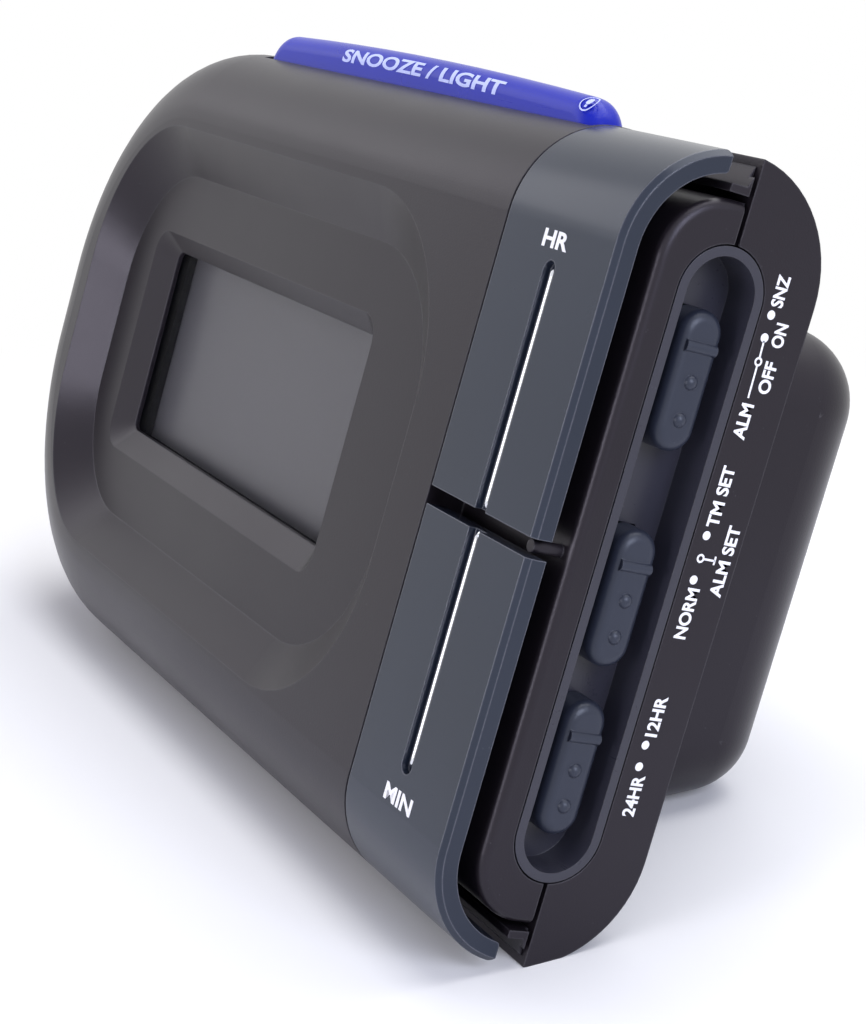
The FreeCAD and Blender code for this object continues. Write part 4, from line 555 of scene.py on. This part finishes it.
def printWords(name, words, start, run, rise, height, length, body):
    # words along run from start, capitals standing along rise, stretched to length, a film above the surface
    points, faces = wordMesh(words, legend["bold"])
    run, rise = np.array(run, float), np.array(rise, float)
    out = np.cross(run, rise)
    along = points[:, :1] * length / points[:, 0].max()
    film = legend["lift"] + points[:, 2:] * legend["thickness"]
    place = np.array(start, float) + along * run + points[:, 1:2] * height * rise + film * out
    return newMesh(name, toRow(place), faces, ink, body, smooth=False)


keyWords = {  # words, start of the line, height and length in millimetres, body
    "hour_key_legend": ("HR", (53.0, 0, 62.7), 1.6, 4.2, "hour_key_body"),
    "minute_key_legend": ("MIN", (52.9, 0, 10.6), 1.6, 5.2, "minute_key_body"),
}
for name, (words, start, height, length, body) in keyWords.items():
    printWords(name, words, start, (1, 0, 0), (0, 0, 1), height, length, body)

sideWords = {  # words, how deep their line stands, where it begins and ends up the right-hand side
    "alarm_legend": ("ALM", 18.38, 51.05, 54.3),
    "off_legend": ("OFF", 19.57, 55.45, 58.35),
    "on_legend": ("ON", 19.5, 59.65, 61.85),
    "snooze_legend": ("SNZ", 18.2, 63.1, 65.95),
    "time_set_legend": ("TM SET", 18.45, 42.9, 48.55),
    "alarm_set_legend": ("ALM SET", 21.02, 36.7, 43.4),
    "normal_legend": ("NORM", 18.58, 32.4, 37.15),
    "twelve_hour_legend": ("12HR", 18.7, 23.05, 26.9),
    "full_day_legend": ("24HR", 18.8, 15.35, 19.3),
}
for name, (words, deep, low, high) in sideWords.items():
    start = (legend["side"], deep, low)
    printWords(name, words, start, (0, 0, 1), (0, -1, 0), legend["sideHeight"], high - low, "case")


def ringPoints(centre, inner, outer, count=40):
    # flat ring or disc on the side of the case: two circles about the centre, joined by quads
    angle = np.linspace(0, 2 * np.pi, count, endpoint=False)
    face = np.full(count, legend["side"] + legend["lift"])
    rims = [np.stack([face, centre[0] + r * np.cos(angle), centre[1] + r * np.sin(angle)], 1) for r in (outer, inner)]
    index = np.arange(count)
    after = (index + 1) % count
    return np.concatenate(rims), np.stack([index, after, after + count, index + count], 1)


def printMarks(name, marks, lines, body):
    # discs, rings and thin straight lines of the switch scales in one film
    points, faces, total = [], [], 0
    for centre, inner, outer in marks:
        rim, quads = ringPoints(centre, max(inner, 0.001), outer)
        points.append(rim)
        faces.extend((quads + total).tolist())
        total += len(rim)
    for start, finish, width in lines:
        start, finish = np.array(start, float), np.array(finish, float)
        along = (finish - start) / np.linalg.norm(finish - start)
        off = np.array([along[1], -along[0]]) * width / 2
        corners = np.array([start - off, start + off, finish + off, finish - off])
        points.append(np.column_stack([np.full(4, legend["side"] + legend["lift"]), corners]))
        faces.append([total, total + 1, total + 2, total + 3])
        total += 4
    points = np.concatenate(points)
    return newMesh(name, toRow(points), faces, ink, body, smooth=False)


printMarks("alarm_scale", [((17.27, 62.32), 0, 0.42), ((17.3, 60.25), 0, 0.42), ((17.4, 58.1), 0.22, 0.42)],
           [((17.33, 60.0), (17.4, 58.5), 0.2), ((17.4, 57.7), (17.48, 54.8), 0.2)], "case")
printMarks("mode_scale", [((17.5, 42.05), 0, 0.42), ((17.6, 39.93), 0.22, 0.42), ((17.55, 37.9), 0, 0.42)],
           [((18.0, 39.93), (19.2, 39.93), 0.2), ((19.2, 39.55), (19.2, 40.35), 0.2)], "case")
printMarks("hour_format_scale", [((17.75, 22.2), 0, 0.42), ((17.77, 20.12), 0, 0.42)], [], "case")

bar = {"rise": 78.05, "crown": 950.0, "front": 6.7, "round": 2.1}  # the blue bar's rounded front, in case millimetres


def onBar(across, up, film):
    # across the bar, then up round its front edge: the height along the round becomes an angle of the round's radius
    top = bar["rise"] - across ** 2 / (2 * bar["crown"])
    angle = up / bar["round"]
    radius = bar["round"] + film
    return np.stack([across, bar["front"] + bar["round"] - radius * np.cos(angle),
                     top - bar["round"] + radius * np.sin(angle)], 1)


barWords = {"words": "SNOOZE / LIGHT", "left": -9.6, "right": 27.2, "low": -0.3, "height": 1.6}
points, faces = wordMesh(barWords["words"], legend["bold"], slices=10)
across = barWords["left"] + points[:, 0] / points[:, 0].max() * (barWords["right"] - barWords["left"])
up = barWords["low"] + points[:, 1] * barWords["height"]
film = legend["lift"] + points[:, 2] * legend["thickness"]
barInk = plastic("bar_ink", (0.50, 0.56, 0.92, 1), 0.5, drift=0.2, grain=(9000.0, 0.000004), specks=0.0)
newMesh("snooze_bar_legend", toRow(onBar(across, up, film)), faces, barInk,
        "snooze_bar_body", smooth=False)

# a small lamp sign: a ring, a round bulb and its foot
lampMark = {"centre": (42.6, 1.5), "size": (1.25, 1.05), "ring": 0.16, "steps": 36}
steps = lampMark["steps"]
angle = np.linspace(0, 2 * np.pi, steps, endpoint=False)
rims = [np.stack([lampMark["centre"][0] + (lampMark["size"][0] - shrink) * np.cos(angle),
                  lampMark["centre"][1] + (lampMark["size"][1] - shrink) * np.sin(angle)], 1)
        for shrink in (0, lampMark["ring"])]
bulb = [np.stack([lampMark["centre"][0] + r * np.cos(angle), lampMark["centre"][1] + 0.15 + r * np.sin(angle)], 1)
        for r in (0.45, 0.01)]
foot = np.array([(-0.18, -0.62), (0.18, -0.62), (0.18, -0.35), (-0.18, -0.35)]) + lampMark["centre"]
index = np.arange(steps)
after = (index + 1) % steps
ring = np.stack([index, after, after + steps, index + steps], 1)
plan = np.concatenate([*rims, *bulb, foot])
faces = [*ring.tolist(), *(ring + 2 * steps).tolist(), (np.arange(4) + 4 * steps).tolist()]
newMesh("lamp_sign", toRow(onBar(plan[:, 0], plan[:, 1], legend["lift"] + legend["thickness"])), faces, barInk,
        "snooze_bar_body", smooth=False)


# ---- the bright bead along the groove of each key, a painted highlight: a polished metal strip that stands in for the line of reflected light in the groove; half an oval carried up it, shrunk to a round at both ends
bead = {"centre": 54.97, "half": 0.30, "tall": 0.34, "floor": 0.8, "taper": 0.5, "round": 13, "steps": 40,
        "keys": {"hour_key_inlay": (38.9, 61.3, "hour_key_body"), "minute_key_inlay": (14.2, 36.9, "minute_key_body")}}


def makeBead(name, low, high, body):
    count, steps = bead["round"], bead["steps"]
    turn, up = np.linspace(0, np.pi, count), np.linspace(low, high, steps)
    ends = np.minimum(up - low, high - up)
    size = np.sqrt(np.clip(1 - (1 - np.clip(ends / bead["taper"], 0, 1)) ** 2, 0.02, 1))
    across = bead["centre"] + bead["half"] * np.cos(turn)[None, :] * size[:, None]
    deep = bead["floor"] - 0.005 - bead["tall"] * np.sin(turn)[None, :] * size[:, None]
    points = np.stack([across, deep, np.broadcast_to(up[:, None], across.shape)], 2).reshape(-1, 3)
    ring, line = np.arange(count), np.arange(steps - 1)[:, None] * count
    after = (ring + 1) % count
    faces = np.stack([line + ring, line + ring + count, line + after + count, line + after], 2)
    faces = [*faces.reshape(-1, 4).tolist(), ring.tolist(), (ring[::-1] + (steps - 1) * count).tolist()]
    return newMesh(name, toRow(points), faces, finishes["groove_highlight_metal"], body)


for name, (low, high, body) in bead["keys"].items():
    makeBead(name, low, high, body)
print("legends ready")


# ---- domes and springs: the travel and the way of the button above each are listed, its points are measured along that way, and it gets a mesh of its own
posturePush = {"in": toRow([0, 1, 0]) - toRow([0, 0, 0]), "down": toRow([0, 0, -1]) - toRow([0, 0, 0])}
squeezed = {  # joint, travel in metres, direction
    "hour_key_pad": ("hour_key_press", 1.5 * mm, "in"),
    "minute_key_pad": ("minute_key_press", 1.5 * mm, "in"),
    "snooze_springs": ("snooze_press", 1.5 * mm, "down"),
}
for name, (joint, travel, way) in squeezed.items():
    axis = posturePush[way][0] / np.linalg.norm(posturePush[way])
    mesh = nodes[name].data
    points = np.empty(len(mesh.vertices) * 3)
    mesh.vertices.foreach_get("co", points)
    points = points.reshape(-1, 3)
    reach = points @ axis
    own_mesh(nodes[name])
print("domes and springs ready")

size = [list(corner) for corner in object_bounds()]
print("size", size)
